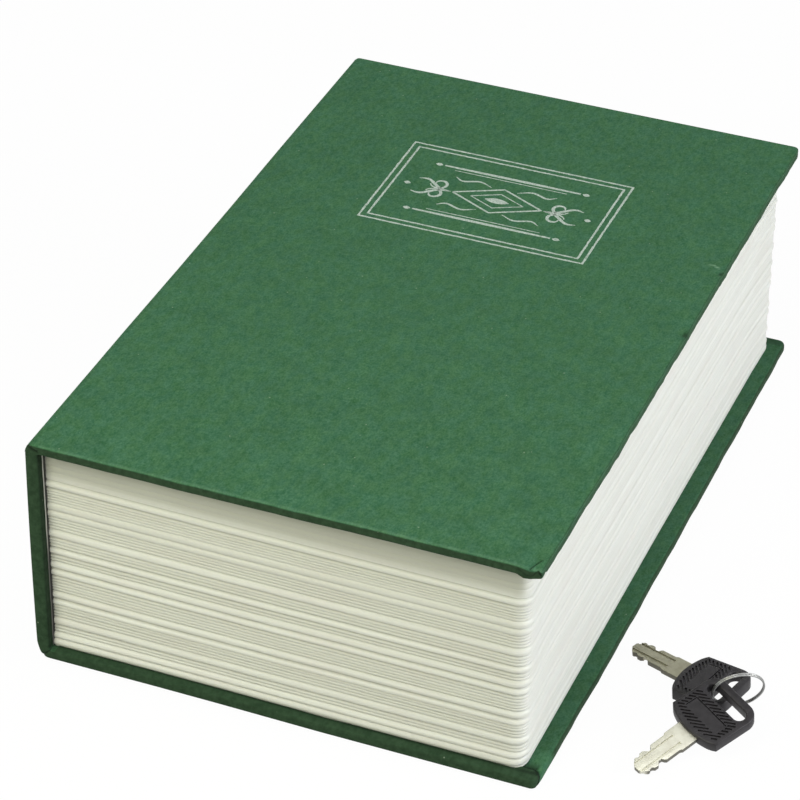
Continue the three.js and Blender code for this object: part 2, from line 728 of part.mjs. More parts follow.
function lockPlug() {
  const top = SHEET + LOCK_FACE_HEIGHT - PLUG_RECESS;
  const keyWidth = BLADE_WIDTH / 2 + KEYWAY_CLEARANCE;
  const keyHalf = BLADE / 2 + KEYWAY_CLEARANCE;
  const keyway = block([-keyHalf, keyHalf], [-keyWidth, keyWidth], [top - KEYWAY_DEPTH, top + 1]);
  const stub = block(
    [-STUB / 2, STUB / 2], [-STUB / 2, STUB / 2], [CAM_UNDER + STUB_FIT, CAM_TOP + SHEET]);
  const thread = disc(SCREW_SHANK + STUB_FIT, CAM_UNDER - SHEET, CAM_UNDER + SCREW_LENGTH);
  return cut(join(disc(PLUG, CAM_TOP, top), stub), keyway, thread);
}

// Bent from flat sheet: an arm on the plug, a leg towards the lid and a tongue that locks.
// It points to the tail when the lock is open.
function lockCam() {
  const half = CAM_WIDTH / 2;
  const plan = new THREE.Shape();
  plan.absarc(0, 0, half, 0, Math.PI, false);
  plan.absarc(0, -CAM_REACH + half, half, Math.PI, 2 * Math.PI, false);
  plan.closePath();
  const side = [
    [half + SHEET, CAM_UNDER],
    [half + SHEET, CAM_TOP],
    [-CAM_LEG + CAM_SHEET, CAM_TOP],
    [-CAM_LEG + CAM_SHEET, TONGUE_TOP],
    [-CAM_REACH - SHEET, TONGUE_TOP],
    [-CAM_REACH - SHEET, TONGUE_TOP - CAM_SHEET],
    [-CAM_LEG, TONGUE_TOP - CAM_SHEET],
    [-CAM_LEG, CAM_UNDER],
  ];
  const outline = new THREE.Shape(side.map(([y, z]) => new THREE.Vector2(y, z)));
  const bent = new THREE.ExtrudeGeometry(outline, { depth: CAM_WIDTH + 2, bevelEnabled: false });
  bent.translate(0, 0, -half - 1).rotateX(Math.PI / 2).rotateZ(Math.PI / 2);
  const square = STUB / 2 + STUB_FIT;
  const hole = block([-square, square], [-square, square], [CAM_UNDER - 1, CAM_TOP + 1]);
  return cut(common(raise(plan, CAM_UNDER, TONGUE_TOP), bent), hole);
}

function camRing() {
  const shape = new THREE.Shape().absarc(0, 0, CAM_RING, 0, 2 * Math.PI);
  shape.holes.push(new THREE.Path().absarc(0, 0, SCREW_SHANK + STUB_FIT, 0, 2 * Math.PI));
  return raise(shape, SCREW_SEAT, CAM_UNDER);
}

function camScrew() {
  const tip = SCREW_SEAT + SCREW_LENGTH;
  const profile = [[0, SCREW_SEAT - SCREW_DOME]];
  for (let i = 1; i <= ARC; i += 1) {
    const angle = radians((90 * i) / ARC);
    const drop = SCREW_DOME * Math.cos(angle);
    profile.push([SCREW_HEAD * Math.sin(angle), SCREW_SEAT - drop]);
  }
  profile.at(-1)[1] = SCREW_SEAT;
  profile.push([SCREW_SHANK, SCREW_SEAT], [SCREW_SHANK, tip], [0, tip]);
  const half = SCREW_SLOT / 2;
  const under = SCREW_SEAT - SCREW_DOME;
  const slot = block([-SCREW_HEAD, SCREW_HEAD], [-half, half], [under - 1, under + SCREW_DOME / 2]);
  return cut(turn(profile, SMALL_ROUND), slot);
}

// Keys, in a key's own frame: the tip at the origin, the head towards +X

const HEAD_START = BLADE_LENGTH + HEAD_SET_BACK;

// One side of the blade from the tip to the shoulder, cut to the bitting depths
function bladeSide(side) {
  const half = BLADE_WIDTH / 2;
  const step = (BLADE_LENGTH - SHOULDER - BLADE_TIP) / BITTING.length;
  const points = [[0, (half * side) / 3]];
  BITTING.forEach((depth, i) => {
    const x = BLADE_TIP + i * step;
    points.push([x, side * (half - depth)], [x + step * BITTING_FLAT, side * (half - depth)]);
  });
  points.push([BLADE_LENGTH - SHOULDER, side * half], [BLADE_LENGTH, side * half]);
  return points;
}

function keyBlade() {
  const tangEnd = BLADE_LENGTH + TANG_LENGTH;
  const tang = TANG_WIDTH / 2;
  const outline = [
    ...bladeSide(-1),
    [BLADE_LENGTH, -tang],
    [tangEnd, -tang],
    [tangEnd, tang],
    [BLADE_LENGTH, tang],
    ...bladeSide(1).reverse(),
  ];
  const shape = new THREE.Shape(outline.map(([x, y]) => new THREE.Vector2(x, y)));
  const half = BLADE / 2;
  const groove = BLADE_GROOVE_WIDTH / 2;
  const grooves = [-1, 1].map((side) => {
    const y = (side * BLADE_WIDTH) / 8;
    const faces = [side * half - BLADE_GROOVE, side * half + BLADE_GROOVE];
    return block([-1, BLADE_LENGTH - SHOULDER / 2], [y - groove, y + groove], faces);
  });
  return cut(raise(shape, -half, half), ...grooves);
}

function keyHead() {
  const half = HEAD_WIDTH / 2;
  const end = HEAD_START + HEAD_LENGTH;
  const shape = new THREE.Shape();
  shape.moveTo(HEAD_START, half);
  const nose = HEAD_START - 2 * HEAD_BULGE;
  const bow = new THREE.QuadraticBezierCurve(
    new THREE.Vector2(HEAD_START, half),
    new THREE.Vector2(nose, 0),
    new THREE.Vector2(HEAD_START, -half));
  bow.getPoints(2 * ARC).slice(1).forEach((point) => shape.lineTo(point.x, point.y));
  const far = rounded([
    [HEAD_START, -half],
    [end, -half, HEAD_CORNER],
    [end, half, HEAD_CORNER],
    [HEAD_START, half],
  ]);
  far.getPoints().slice(1, -1).forEach((point) => shape.lineTo(point.x, point.y));
  shape.closePath();
  const x = HEAD_START + SLOT_CENTRE;
  const reach = (SLOT_LENGTH - SLOT_WIDTH) / 2;
  const slot = new THREE.Path();
  slot.absarc(x, -reach, SLOT_WIDTH / 2, Math.PI, 2 * Math.PI, false);
  slot.absarc(x, reach, SLOT_WIDTH / 2, 0, Math.PI, false);
  slot.closePath();
  shape.holes.push(slot);
  const pocketY = TANG_WIDTH / 2 + TANG_GAP;
  const pocketZ = BLADE / 2 + TANG_GAP;
  const pocketEnd = BLADE_LENGTH + TANG_LENGTH + TANG_GAP;
  const pocket = block([0, pocketEnd], [-pocketY, pocketY], [-pocketZ, pocketZ]);
  const mouthY = BLADE_WIDTH / 2 + TANG_GAP;
  const mouth = block([0, BLADE_LENGTH + TANG_GAP], [-mouthY, mouthY], [-HEAD, HEAD]);
  return cut(raise(shape, -HEAD / 2, HEAD / 2, SMALL_ROUND / 2), pocket, mouth);
}

// A key raised at its head, with the lowest corner of its tip on the floor
function key(name, place) {
  const group = groupAt(
    FORE_X + place.out, place.up - HEAD_Y, 0,
    piece(`key_head_${name}`, keyHead(), 'moulding'),
    piece(`key_blade_${name}`, keyBlade(), 'blade'));
  group.rotation.set(radians(place.roll), -radians(place.tilt), radians(place.turn), 'ZYX');
  group.updateMatrixWorld(true);
  group.position.z = -new THREE.Box3().setFromObject(group, true).min.z;
  return group;
}

function keyRing() {
  const ring = piece('key_ring', new THREE.TorusGeometry(RING, RING_WIRE, 8, 40), 'plate');
  const { out, up, z, lean, turn: heading } = RING_PLACE;
  const group = groupAt(FORE_X + out, up - HEAD_Y, z, ring);
  group.rotation.set(0, radians(lean), radians(heading), 'ZYX');
  return group;
}

// Assemblies

function frontCover() {
  const outerFrame = foilFrame(0);
  const innerFrame = foilFrame(FRAME_STEP);
  const upperRule = foilRule(1);
  const lowerRule = foilRule(-1);
  const ornament = foilLozenge();
  const foils = [outerFrame, innerFrame, upperRule, lowerRule, ornament];
  return groupAt(
    SPINE_X, 0, CASE_HEIGHT,
    piece('front_board', frontBoard(), 'board'),
    piece('front_cloth', frontCloth(foils), 'cloth'),
    piece('front_endpaper', frontEndpaper(), 'paper'),
    piece('foil_frame_outer', outerFrame, 'foil'),
    piece('foil_frame_inner', innerFrame, 'foil'),
    piece('foil_rule_upper', upperRule, 'foil'),
    piece('foil_rule_lower', lowerRule, 'foil'),
    piece('foil_ornament', ornament, 'foil'));
}

function lock() {
  return groupAt(
    LOCK_X - PIN_X, 0, RECESS_UNDER,
    piece('lock_body', lockBody(), 'plate'),
    piece('lock_washer', lockWasher(), 'plate'),
    piece('lock_nut', lockNut(), 'plate'),
    piece('lock_plug', lockPlug(), 'plate'),
    piece('lock_cam', lockCam(), 'plate'),
    piece('cam_washer', camRing(), 'moulding'),
    piece('cam_screw', camScrew(), 'plate'));
}

function lid() {
  return groupAt(
    PIN_X, 0, PIN_Z,
    piece('hinge_leaf_box', boxLeaf(), 'powder'),
    piece('hinge_leaf_lid', lidLeaf(), 'powder'),
    piece('hinge_pin', hingePin(), 'plate'),
    piece('steel_lid', steelLid(), 'powder'),
    lock());
}

function rivets() {
  return RIVET_SPOTS.map(({ name, x, side }) => {
    return groupAt(x, side * INNER_Y, RIVET_HEIGHT, piece(name, rivet(side), 'plate'));
  });
}

function bookSafe() {
  const holes = RIVET_SPOTS.map(rivetHole);
  const group = new THREE.Group();
  group.add(
    piece('back_board', backBoard(), 'board'),
    piece('spine_board', spineBoard(), 'board'),
    piece('case_cloth', caseCloth(), 'cloth'),
    piece('back_endpaper', backEndpaper(), 'paper'),
    piece('spine_lining', spineLining(), 'paper'),
    piece('page_block', pageBlock(holes), 'block'),
    piece('steel_box', steelBox(holes), 'powder'),
    ...rivets(),
    lid(),
    frontCover(),
    key('front', FRONT_KEY),
    key('rear', REAR_KEY),
    keyRing());
  return group;
}

export default bookSafe();
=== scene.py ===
"""Looks of a book diversion safe: a cloth-bound book case round a moulded page block, which holds
a steel cash box with a hinged, cam-locked lid. Two keys on a split ring lie beside it.

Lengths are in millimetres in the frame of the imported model, and become metres when a mesh is made.
+X runs from the spine to the fore edge, +Y from the tail to the head of the book, +Z is up.
"""

import math

import bmesh
import bpy
import numpy as np
from mathutils import Matrix, Vector

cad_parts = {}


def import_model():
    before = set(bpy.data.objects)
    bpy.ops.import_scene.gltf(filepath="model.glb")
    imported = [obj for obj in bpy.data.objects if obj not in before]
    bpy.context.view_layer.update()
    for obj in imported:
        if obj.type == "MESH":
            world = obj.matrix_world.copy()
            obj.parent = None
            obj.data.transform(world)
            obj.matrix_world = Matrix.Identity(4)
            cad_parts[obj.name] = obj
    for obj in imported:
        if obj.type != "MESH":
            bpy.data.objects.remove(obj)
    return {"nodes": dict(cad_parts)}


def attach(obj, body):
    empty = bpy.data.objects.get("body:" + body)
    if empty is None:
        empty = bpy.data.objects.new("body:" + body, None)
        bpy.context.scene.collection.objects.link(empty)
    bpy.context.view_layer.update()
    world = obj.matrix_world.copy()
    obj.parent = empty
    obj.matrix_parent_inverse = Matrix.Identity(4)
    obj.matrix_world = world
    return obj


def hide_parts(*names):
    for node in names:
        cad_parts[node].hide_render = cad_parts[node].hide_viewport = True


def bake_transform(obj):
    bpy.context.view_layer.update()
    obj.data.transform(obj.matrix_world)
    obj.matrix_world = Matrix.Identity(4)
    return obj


MM = 0.001

# Book case
SPINE_X, FORE_X = -57.5, 57.5
TAIL_Y, HEAD_Y = -90.0, 90.0
TOP_Z = 57.0
CLOTH = 0.25
BOARD = 1.8
PAPER = 0.15
COVER = 2 * CLOTH + BOARD
TURN_IN = 12.0
PAPER_BORDER = 3.5
FRONT_X = -54.95  # spine side of the front cover
FRONT_Z = TOP_Z - COVER  # its underside
JOINT_Z = 54.85  # lower edge of the joint cloth on the spine
JOINT_RADIUS = 1.5
RIM = 0.4  # roundness of a cloth-covered rim
FORE_CORNER = 1.4  # plan radius of the cover's corner at the head
TAIL_CORNER = 0.4  # and at the tail, where it is folded sharp
FOLD_RADIUS = 2.0  # outer radius where spine and back cover meet
FOLD_FILLET = 0.6
SPINE_OUT = 0.72  # how far the spine stands out, and how much more in its middle
SPINE_BOW = 0.2

# Page block
BLOCK = dict(x0=-54.75, x1=54.5, y=87.0, z0=2.45, z1=54.25)
BLOCK_CORNER, BLOCK_SPINE_CORNER = 2.9, 0.5
POCKET = dict(x0=-51.75, x1=51.5, y=84.0, z=3.95)
RIB_DEPTH, WALL_DEPTH = 0.8, 0.64  # how far the ribs' middles and the wall lie inside the block's box
BAND_FOOT = 46.65
BAND_INSET = 0.45
BOLD_RIBS = (3.4, 5.2, 8.85, 13.95, 16.05, 22.1, 24.2, 27.95, 32.5, 37.5, 39.4, 45.6)
WALL_LEVELS = (4, 5.5, 7, 8.5, 10, 12, 14.5, 18, 22, 27, 31, 33, 35, 38, 42, 44)
BAND_LINES = (48.9, 50.4, 52.3)  # shallow lines in the plain band
RIB_SIZES = {"Bold reach": 0.75, "Bold half": 0.96, "Fine reach": 0.5, "Fine half": 0.41}
# Painted shade on the block's wall, in its grooves, and on its plain band
WALL_SHADE, BAND_SHADE = 0.9, 0.14
FINE_RIBS = (6.5, 7.25, 10.35, 11.15, 12.0, 12.75, 17.45, 18.2, 18.95, 19.75, 20.6, 25.6, 26.4,
             29.4, 30.2, 30.95, 33.95, 34.7, 35.45, 36.2, 40.75, 41.5, 42.25, 43.05, 43.85)

# Foil frame and ornament
FOIL_X, FOIL_Y = -0.9, 39.1
FRAME_WIDTH, FRAME_HEIGHT = 55.4, 36.4
FRAME_STEP = 1.7
FOIL_LINE = 0.5
FOIL_LIFT, FOIL_THICK = 0.02, 0.06
RULE_LENGTH = 34.0
RULE_SPREAD = 21.0
# Leaves beside the lozenge, each a line from its middle and a width
LEAVES = ((((11.5, 0.0), (14.5, 0.5), (18.0, 3.2), (20.5, 3.0)), 0.8),
          (((3.2, 5.2), (6.6, 6.6), (10.4, 5.4), (12.6, 6.6)), 0.6))

# Hinge of the lid
PIN_X, PIN_Z = -48.95, 51.0
KNUCKLE = 1.7
HINGE_HALF = 80.0
KNUCKLES = 9
KNUCKLE_GAP = 0.3
LEAF = 0.8

# Lock
LOCK_X = 30.3
BARREL = 8.0
BARREL_FLAT = 7.0
THREAD = 0.34

# Rivets: places on the box's end walls
RIVETS = ((-40.65, -82.9), (28.4, -82.9), (-40.65, 82.9), (28.4, 82.9))
RIVET_Z = 29.7

# Keys, each with its blade's tip, turn, tilt and roll
KEY_PLACES = {
    "front": (75.1, -76.0, 56.5, 11.9, 9.0),
    "rear": (61.8, -40.7, -15.3, 4.8, 0.0),
}
HEAD_START = 15.7
HEAD_END = 28.2
HEAD_HALF = 7.25
HEAD_THICK = 2.8
CAD_BLADE = 1.6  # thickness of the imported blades
SLOT_U = 24.8
SLOT_HALF = 5.7
SLOT_WIDTH = 3.0
# The ring looks a little smaller and steeper than the solid, as in the photo
RING_PLACE = (89.2, -49.72, 6.185)
RING_LEAN, RING_TURN = 73.2, 122.3
RING = 5.63
RING_WIRE = 0.21

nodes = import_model()["nodes"]
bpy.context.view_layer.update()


# ---------------------------------------------------------------- node trees

def linear(red, green, blue):
    """A colour given as it shows on a screen, 0 to 255."""
    parts = [c / 255 for c in (red, green, blue)]
    return tuple(c / 12.92 if c <= 0.04045 else ((c + 0.055) / 1.055) ** 2.4 for c in parts) + (1.0,)


class Tree:
    """A node tree that is filled one line for each node."""

    def __init__(self, tree):
        self.tree = tree

    def add(self, kind, settings=None, **inputs):
        node = self.tree.nodes.new(kind)
        for name, value in (settings or {}).items():
            setattr(node, name, value)
        for name, value in inputs.items():
            self.put(node, name.replace("_", " "), value)
        return node

    def shade(self, kind, settings=None, **inputs):
        return self.add("ShaderNode" + kind, settings, **inputs)

    def geo(self, kind, settings=None, **inputs):
        return self.add("GeometryNode" + kind, settings, **inputs)

    def put(self, node, socket, value):
        """Sets an input by its name or number, or links it to a node's first output or a socket."""
        target = node.inputs[socket]
        if isinstance(value, bpy.types.Node):
            value = next(output for output in value.outputs if output.enabled)
        if isinstance(value, bpy.types.NodeSocket):
            self.tree.links.new(value, target)
        else:
            target.default_value = value

    def put_all(self, node, *values):
        """Fills inputs given as (name or number, value)."""
        for socket, value in values:
            self.put(node, socket, value)
        return node

    def math(self, operation, first, second=0.0):
        return self.put_all(self.shade("Math", {"operation": operation}), (0, first), (1, second))

    def blend(self, share, first, second):
        return self.put_all(self.shade("MixShader", Fac=share), (1, first), (2, second))

    def seen_as(self, lit, seen):
        """One shader for the light that something gives, and another for how it is seen, straight
        or in a bright surface."""
        path = self.shade("LightPath")
        rays = self.math("MAXIMUM", path.outputs["Is Camera Ray"], path.outputs["Is Glossy Ray"])
        rays = self.math("MAXIMUM", rays, path.outputs["Is Transmission Ray"])
        return self.blend(rays, lit, seen)

    def attribute(self, name, kind="FLOAT"):
        return self.geo("InputNamedAttribute", {"data_type": kind}, Name=name)

    def circle(self, resolution, radius):
        return self.geo("CurvePrimitiveCircle", Resolution=resolution, Radius=radius)

    def swept(self, path, profile, caps=True):
        return self.geo("CurveToMesh", Curve=path, Profile_Curve=profile, Fill_Caps=caps)

    def coil(self, resolution, turns, radius, height, profile):
        """A profile wound in a screw line."""
        line = self.geo("CurveSpiral", Resolution=resolution, Rotations=turns, Start_Radius=radius,
                        End_Radius=radius, Height=height)
        return self.swept(line, profile)

    def copied(self, points, form, **how):
        """A form put on each of the points."""
        copies = self.geo("InstanceOnPoints", Points=points, Instance=form, **how)
        return self.geo("RealizeInstances", Geometry=copies)

    def joined(self, *forms):
        whole = self.geo("JoinGeometry")
        for form in forms:
            self.put(whole, "Geometry", form)
        return whole

    def with_painted_shade(self, form, amount):
        # Stores how much painted shade darkens the form's colour at each point
        return self.geo("StoreNamedAttribute", {"data_type": "FLOAT", "domain": "POINT"},
                        Geometry=form, Name="painted_shade", Value=amount)


class Finish(Tree):
    """A material with its shader, whose patterns are measured in millimetres on the object."""

    def __init__(self, name, roughness, metallic=0.0, **shader):
        self.material = bpy.data.materials.new(name)
        self.material.use_nodes = True
        super().__init__(self.material.node_tree)
        self.tree.nodes.clear()
        self.shader = self.shade("BsdfPrincipled", Roughness=roughness, Metallic=metallic, **shader)
        self.output = self.shade("OutputMaterial", Surface=self.shader)
        place = self.shade("VectorMath", {"operation": "SCALE"}, Scale=1 / MM,
                           Vector=self.shade("TexCoord").outputs["Object"])
        self.place = place.outputs["Vector"]

    def noise(self, size, detail=2.0, rough=0.5, stretch=None, turn=0.0):
        """Soft noise whose blotches are about the given size across, with its place stretched and turned."""
        place = self.place
        if stretch:
            place = self.shade("Mapping", Vector=place, Scale=stretch, Rotation=(0, 0, turn))
        return self.shade("TexNoise", Vector=place, Scale=1 / size, Detail=detail, Roughness=rough)

    def cells(self, size, feature="F1"):
        return self.shade("TexVoronoi", {"feature": feature}, Vector=self.place, Scale=1 / size)

    def between(self, value, low, high, to_low=0.0, to_high=1.0):
        node = self.shade("MapRange", Value=value, From_Min=low, From_Max=high, To_Min=to_low, To_Max=to_high)
        return node.outputs["Result"]

    def mix(self, share, first, second):
        node = self.shade("Mix", {"data_type": "RGBA"})
        return self.put_all(node, (0, share), (6, first), (7, second)).outputs[2]

    def over(self, tone, colour, mask, share):
        """A tone with a share of a colour laid over it where the mask is."""
        return self.mix(self.math("MULTIPLY", mask, share), tone, colour)

    def mark(self, name):
        """A value that the mesh carries at its points."""
        return self.shade("Attribute", {"attribute_name": name}).outputs["Fac"]

    def done(self, colour, rough, *layers):
        """The material with its colour, its roughness and bumps of (height, distance in millimetres)."""
        self.put_all(self.shader, ("Base Color", colour), ("Roughness", rough))
        for height, distance in layers:
            bump = self.shade("Bump", Height=height, Distance=distance * MM, Strength=1.0)
            if height is not layers[0][0]:
                self.put(bump, "Normal", below)
            below = bump
        if layers:
            self.put(self.shader, "Normal", below)
        return self.material


# ---------------------------------------------------------------- finishes

def book_cloth():
    """Green book cloth with a soft, paper-like face and fine fibres, with painted shade on its rims and in its
    folds.
    """
    f = Finish("book_cloth", 0.85, Specular_IOR_Level=0.12)
    clouds = f.noise(7.0, 2.0, 0.55)
    tints = f.noise(2.4, 3.0, 0.6, (1.0, 0.62, 1.0))
    blotches = f.noise(1.2, 3.0, 0.6, (1.0, 0.62, 1.0), 0.3)
    grain = f.noise(0.4, 2.0, 0.65, (1.0, 0.6, 1.0), -0.2)
    fibres = f.noise(0.7, 2.0, 0.6, (0.6, 1.5, 1.0), 1.1)
    level = f.math("ADD", f.between(blotches, 0.3, 0.7, -0.2, 0.2), f.between(grain, 0.25, 0.75, 0.08, 0.92))
    level = f.math("ADD", level, f.between(fibres, 0.35, 0.75, -0.1, 0.1))
    cool = f.between(tints, 0.38, 0.62)
    deep = f.mix(cool, linear(45, 91, 56), linear(42, 90, 62))
    pale = f.mix(cool, linear(81, 124, 90), linear(79, 123, 96))
    tone = f.shade("VectorMath", {"operation": "SCALE"}, Vector=f.mix(level, deep, pale),
                   Scale=f.between(clouds, 0.3, 0.7, 0.94, 1.06)).outputs[0]
    # Lighter fibres that catch the light
    threads = f.noise(0.9, 3.0, 0.7, (0.4, 1.7, 1.0), -0.7)
    tone = f.over(tone, linear(106, 148, 118), f.between(threads, 0.65, 0.75), 0.35)
    # Painted shade: the cloth's rims, its squares and the spine's inside are darker, and its creases and dents
    # darker still
    shaded_rim_tone = f.mix(f.between(blotches, 0.35, 0.65), linear(38, 59, 40), linear(50, 73, 52))
    tone = f.mix(f.mark("rim"), tone, shaded_rim_tone)
    tone = f.over(tone, linear(14, 24, 16), f.mark("painted_shade"), 0.9)
    # Pale fibres, and a painted highlight along the top of the tail edge
    tone = f.over(tone, linear(150, 190, 160), f.mark("fray_and_highlight"), 0.6)
    tone = f.over(tone, linear(190, 205, 185), f.between(f.cells(4.1), 0.05, 0.03), 0.3)
    return f.done(tone, f.between(grain, 0.2, 0.8, 0.68, 0.88),
                  (clouds, 0.12), (blotches, 0.05), (grain, 0.03), (fibres, 0.02))


def endpaper():
    """White lining paper with a faint fibrous tooth, painted dark where it lies in shade."""
    f = Finish("endpaper", 0.85)
    tooth = f.noise(0.35, 3.0, 0.6)
    sheet = f.noise(14.0)
    white = f.mix(f.between(sheet, 0.35, 0.65), linear(231, 231, 225), linear(235, 235, 230))
    return f.done(f.mix(f.mark("painted_shade"), white, linear(13, 13, 9)), f.between(tooth, 0.2, 0.8, 0.8, 0.92),
                  (sheet, 0.015), (tooth, 0.012))


def grey_board():
    """Pressed grey board with flecks of fibre."""
    f = Finish("grey_board", 0.95)
    pulp = f.noise(0.8, 4.0, 0.7)
    flecks = f.between(f.noise(0.5, 2.0, 0.5, (0.4, 1.5, 1.0), 0.9), 0.66, 0.72)
    base = f.mix(f.between(pulp, 0.3, 0.7), linear(128, 122, 110), linear(152, 146, 132))
    return f.done(f.over(base, linear(92, 86, 78), flecks, 0.5), 0.95, (pulp, 0.05))


def page_plastic():
    """Off-white moulded plastic with a satin face and fine lines along the ribs, and painted shade in its
    grooves and under the cover.
    """
    f = Finish("page_plastic", 0.42, Specular_IOR_Level=0.4, Subsurface_Weight=0.12,
               Subsurface_Radius=(1.0, 0.9, 0.7), Subsurface_Scale=0.9 * MM)
    lines = f.noise(1.0, 3.0, 0.6, (0.03, 0.03, 3.2))
    haze = f.noise(6.0, 2.0, 0.5, (0.35, 0.35, 1.6))
    dust_and_shade = f.noise(0.5, 3.0, 0.7)
    tone = f.mix(f.between(lines, 0.3, 0.7), linear(221, 223, 216), linear(231, 233, 228))
    tone = f.over(tone, linear(224, 221, 216), f.between(haze, 0.45, 0.7), 0.35)
    # Painted shade in the ribs' grooves and on the band under the cover
    tone = f.over(tone, linear(172, 174, 163), f.mark("painted_shade"), 0.62)
    tone = f.over(tone, linear(205, 205, 195), f.between(dust_and_shade, 0.62, 0.72), 0.15)
    return f.done(tone, f.between(haze, 0.3, 0.7, 0.36, 0.5), (lines, 0.05), (dust_and_shade, 0.01))


def powder_coat():
    """Dark grey hammered powder coat on sheet steel."""
    f = Finish("powder_coat", 0.45, Specular_IOR_Level=0.5)
    hammer = f.put_all(f.cells(1.7, "SMOOTH_F1"), ("Smoothness", 0.6)).outputs["Distance"]
    fine = f.noise(0.35, 3.0, 0.6)
    base = f.mix(f.between(f.noise(20.0), 0.35, 0.65), linear(52, 53, 56), linear(62, 63, 66))
    base = f.over(base, linear(82, 83, 86), f.between(hammer, 0.15, 0.6), 0.4)
    base = f.over(base, linear(140, 141, 144), f.between(f.cells(0.5), 0.09, 0.05), 0.25)
    return f.done(base, f.between(fine, 0.25, 0.75, 0.38, 0.55), (hammer, 0.16), (fine, 0.02))


def bright_metal(name, light, dark, roughness, brush):
    """Plated metal with brush marks and faint smears."""
    f = Finish(name, roughness, 1.0)
    marks = f.noise(0.25, 3.0, 0.6, brush)
    smear = f.noise(3.0, 3.0, 0.6)
    both = f.math("ADD", f.between(marks, 0.3, 0.7, -0.05, 0.06), f.between(smear, 0.3, 0.7, -0.04, 0.08))
    return f.done(f.mix(f.between(smear, 0.3, 0.7), linear(*dark), linear(*light)),
                  f.math("ADD", both, roughness), (marks, 0.006), (smear, 0.01))


def key_nickel(name, light, dark):
    """Nickel-plated key blade, brushed and slightly tarnished, with painted shade on its side faces and in its
    grooves.
    """
    f = Finish(name, 0.42, 0.7)
    marks = f.noise(0.3, 3.0, 0.6)
    tarnish = f.noise(2.4, 3.0, 0.6)
    plate = f.over(linear(*light), linear(*dark), f.between(tarnish, 0.4, 0.75), 0.5)
    # Painted shade on the blade's side faces
    plate = f.over(plate, linear(76, 74, 66), f.mark("rim"), 0.85)
    # Painted shade in the milled grooves
    plate = f.over(plate, linear(60, 55, 42), f.mark("painted_shade"), 0.8)
    return f.done(plate, f.between(marks, 0.25, 0.75, 0.36, 0.52), (marks, 0.012), (tarnish, 0.02))


def key_plastic():
    """Black moulded plastic with a fine spark-eroded grain and rubbed corners."""
    f = Finish("key_plastic", 0.5, Specular_IOR_Level=0.3)
    grain = f.noise(0.16, 2.0, 0.6)
    rub = f.noise(2.2, 3.0, 0.6)
    tone = f.mix(f.between(rub, 0.35, 0.75), linear(30, 28, 31), linear(47, 45, 49))
    # Painted shade in the hatch grooves
    return f.done(f.mix(f.mark("painted_shade"), tone, linear(8, 7, 8)), f.between(rub, 0.3, 0.7, 0.38, 0.54),
                  (rub, 0.02), (grain, 0.015))


def silver_foil():
    """Hot-stamped silver foil, thin enough to show the cloth's grain, rubbed in places."""
    f = Finish("silver_foil", 0.5, 0.45)
    grain = f.noise(0.4, 3.0, 0.65)
    rub = f.noise(1.3, 4.0, 0.7)
    base = f.mix(f.between(grain, 0.35, 0.65), linear(150, 168, 156), linear(196, 208, 200))
    base = f.over(base, linear(80, 122, 92), f.between(rub, 0.56, 0.7), 0.75)
    return f.done(base, f.between(grain, 0.25, 0.75, 0.4, 0.62), (grain, 0.03), (rub, 0.02))


cloth = book_cloth()
paper = endpaper()
board = grey_board()
plastic = page_plastic()
powder = powder_coat()
chrome = bright_metal("lock_chrome", (226, 228, 230), (196, 199, 203), 0.16, (1, 1, 8))
ring_steel = bright_metal("ring_steel", (168, 169, 168), (122, 122, 120), 0.34, (1, 1, 1))
rivet_metal = bright_metal("rivet_metal", (214, 214, 212), (180, 181, 180), 0.28, (1, 1, 1))
pin_steel = bright_metal("pin_steel", (170, 172, 175), (140, 142, 146), 0.3, (8, 0.4, 8))
# One plating, painted lighter for the front key, which catches more light, and darker, as in shade, for the
# rear one
nickel = {"front": key_nickel("key_nickel_front", (216, 215, 202), (184, 181, 164)),
          "rear": key_nickel("key_nickel_rear", (168, 165, 146), (128, 124, 106))}
black = key_plastic()
foil = silver_foil()


# ---------------------------------------------------------------- meshes

def step(start, end, value):
    """0 before start, 1 after end, and smooth between them. Start may be the larger one."""
    share = np.clip((np.asarray(value, float) - start) / (end - start), 0, 1)
    return share * share * (3 - 2 * share)


def wander(values, pitch, seed):
    """A smooth, aimless line through about -1 to 1."""
    phases = np.random.default_rng(seed).uniform(0, 2 * math.pi, 4)
    waves = ((1.0, 1.0), (1.73, 0.7), (2.91, 0.5), (4.37, 0.35))
    return sum(w * np.sin(values / pitch * k + p) for (k, w), p in zip(waves, phases)) / 2


def made(name, points, faces, material, marks=None, edges=()):
    """A smooth-shaded object from points in millimetres."""
    mesh = bpy.data.meshes.new(name)
    mesh.from_pydata((np.asarray(points, float) * MM).tolist(), list(edges), [list(map(int, f)) for f in faces])
    for mark, values in (marks or {}).items():
        attribute = mesh.attributes.new(mark, "FLOAT", "POINT")
        attribute.data.foreach_set("value", np.asarray(values, np.float32))
    if material is not None:
        mesh.materials.append(material)
    return shown(name, mesh)


def shown(name, mesh, sharp=35):
    mesh.update()
    mesh.shade_smooth()
    mesh.set_sharp_from_angle(angle=math.radians(sharp))
    piece = bpy.data.objects.new(name, mesh)
    bpy.context.scene.collection.objects.link(piece)
    return piece


def settled(piece, sharp=35):
    """The piece as a plain mesh, with its modifiers worked in."""
    graph = bpy.context.evaluated_depsgraph_get()
    graph.update()
    mesh = bpy.data.meshes.new_from_object(piece.evaluated_get(graph))
    name = piece.name
    bpy.data.objects.remove(piece)
    return shown(name, mesh, sharp)


def thickened(piece, thickness):
    """A sheet's outer face given its thickness inward."""
    solid = piece.modifiers.new("thickness", "SOLIDIFY")
    solid.thickness = thickness * MM
    solid.offset = -1
    solid.use_even_offset = False
    solid.use_quality_normals = True
    return settled(piece)


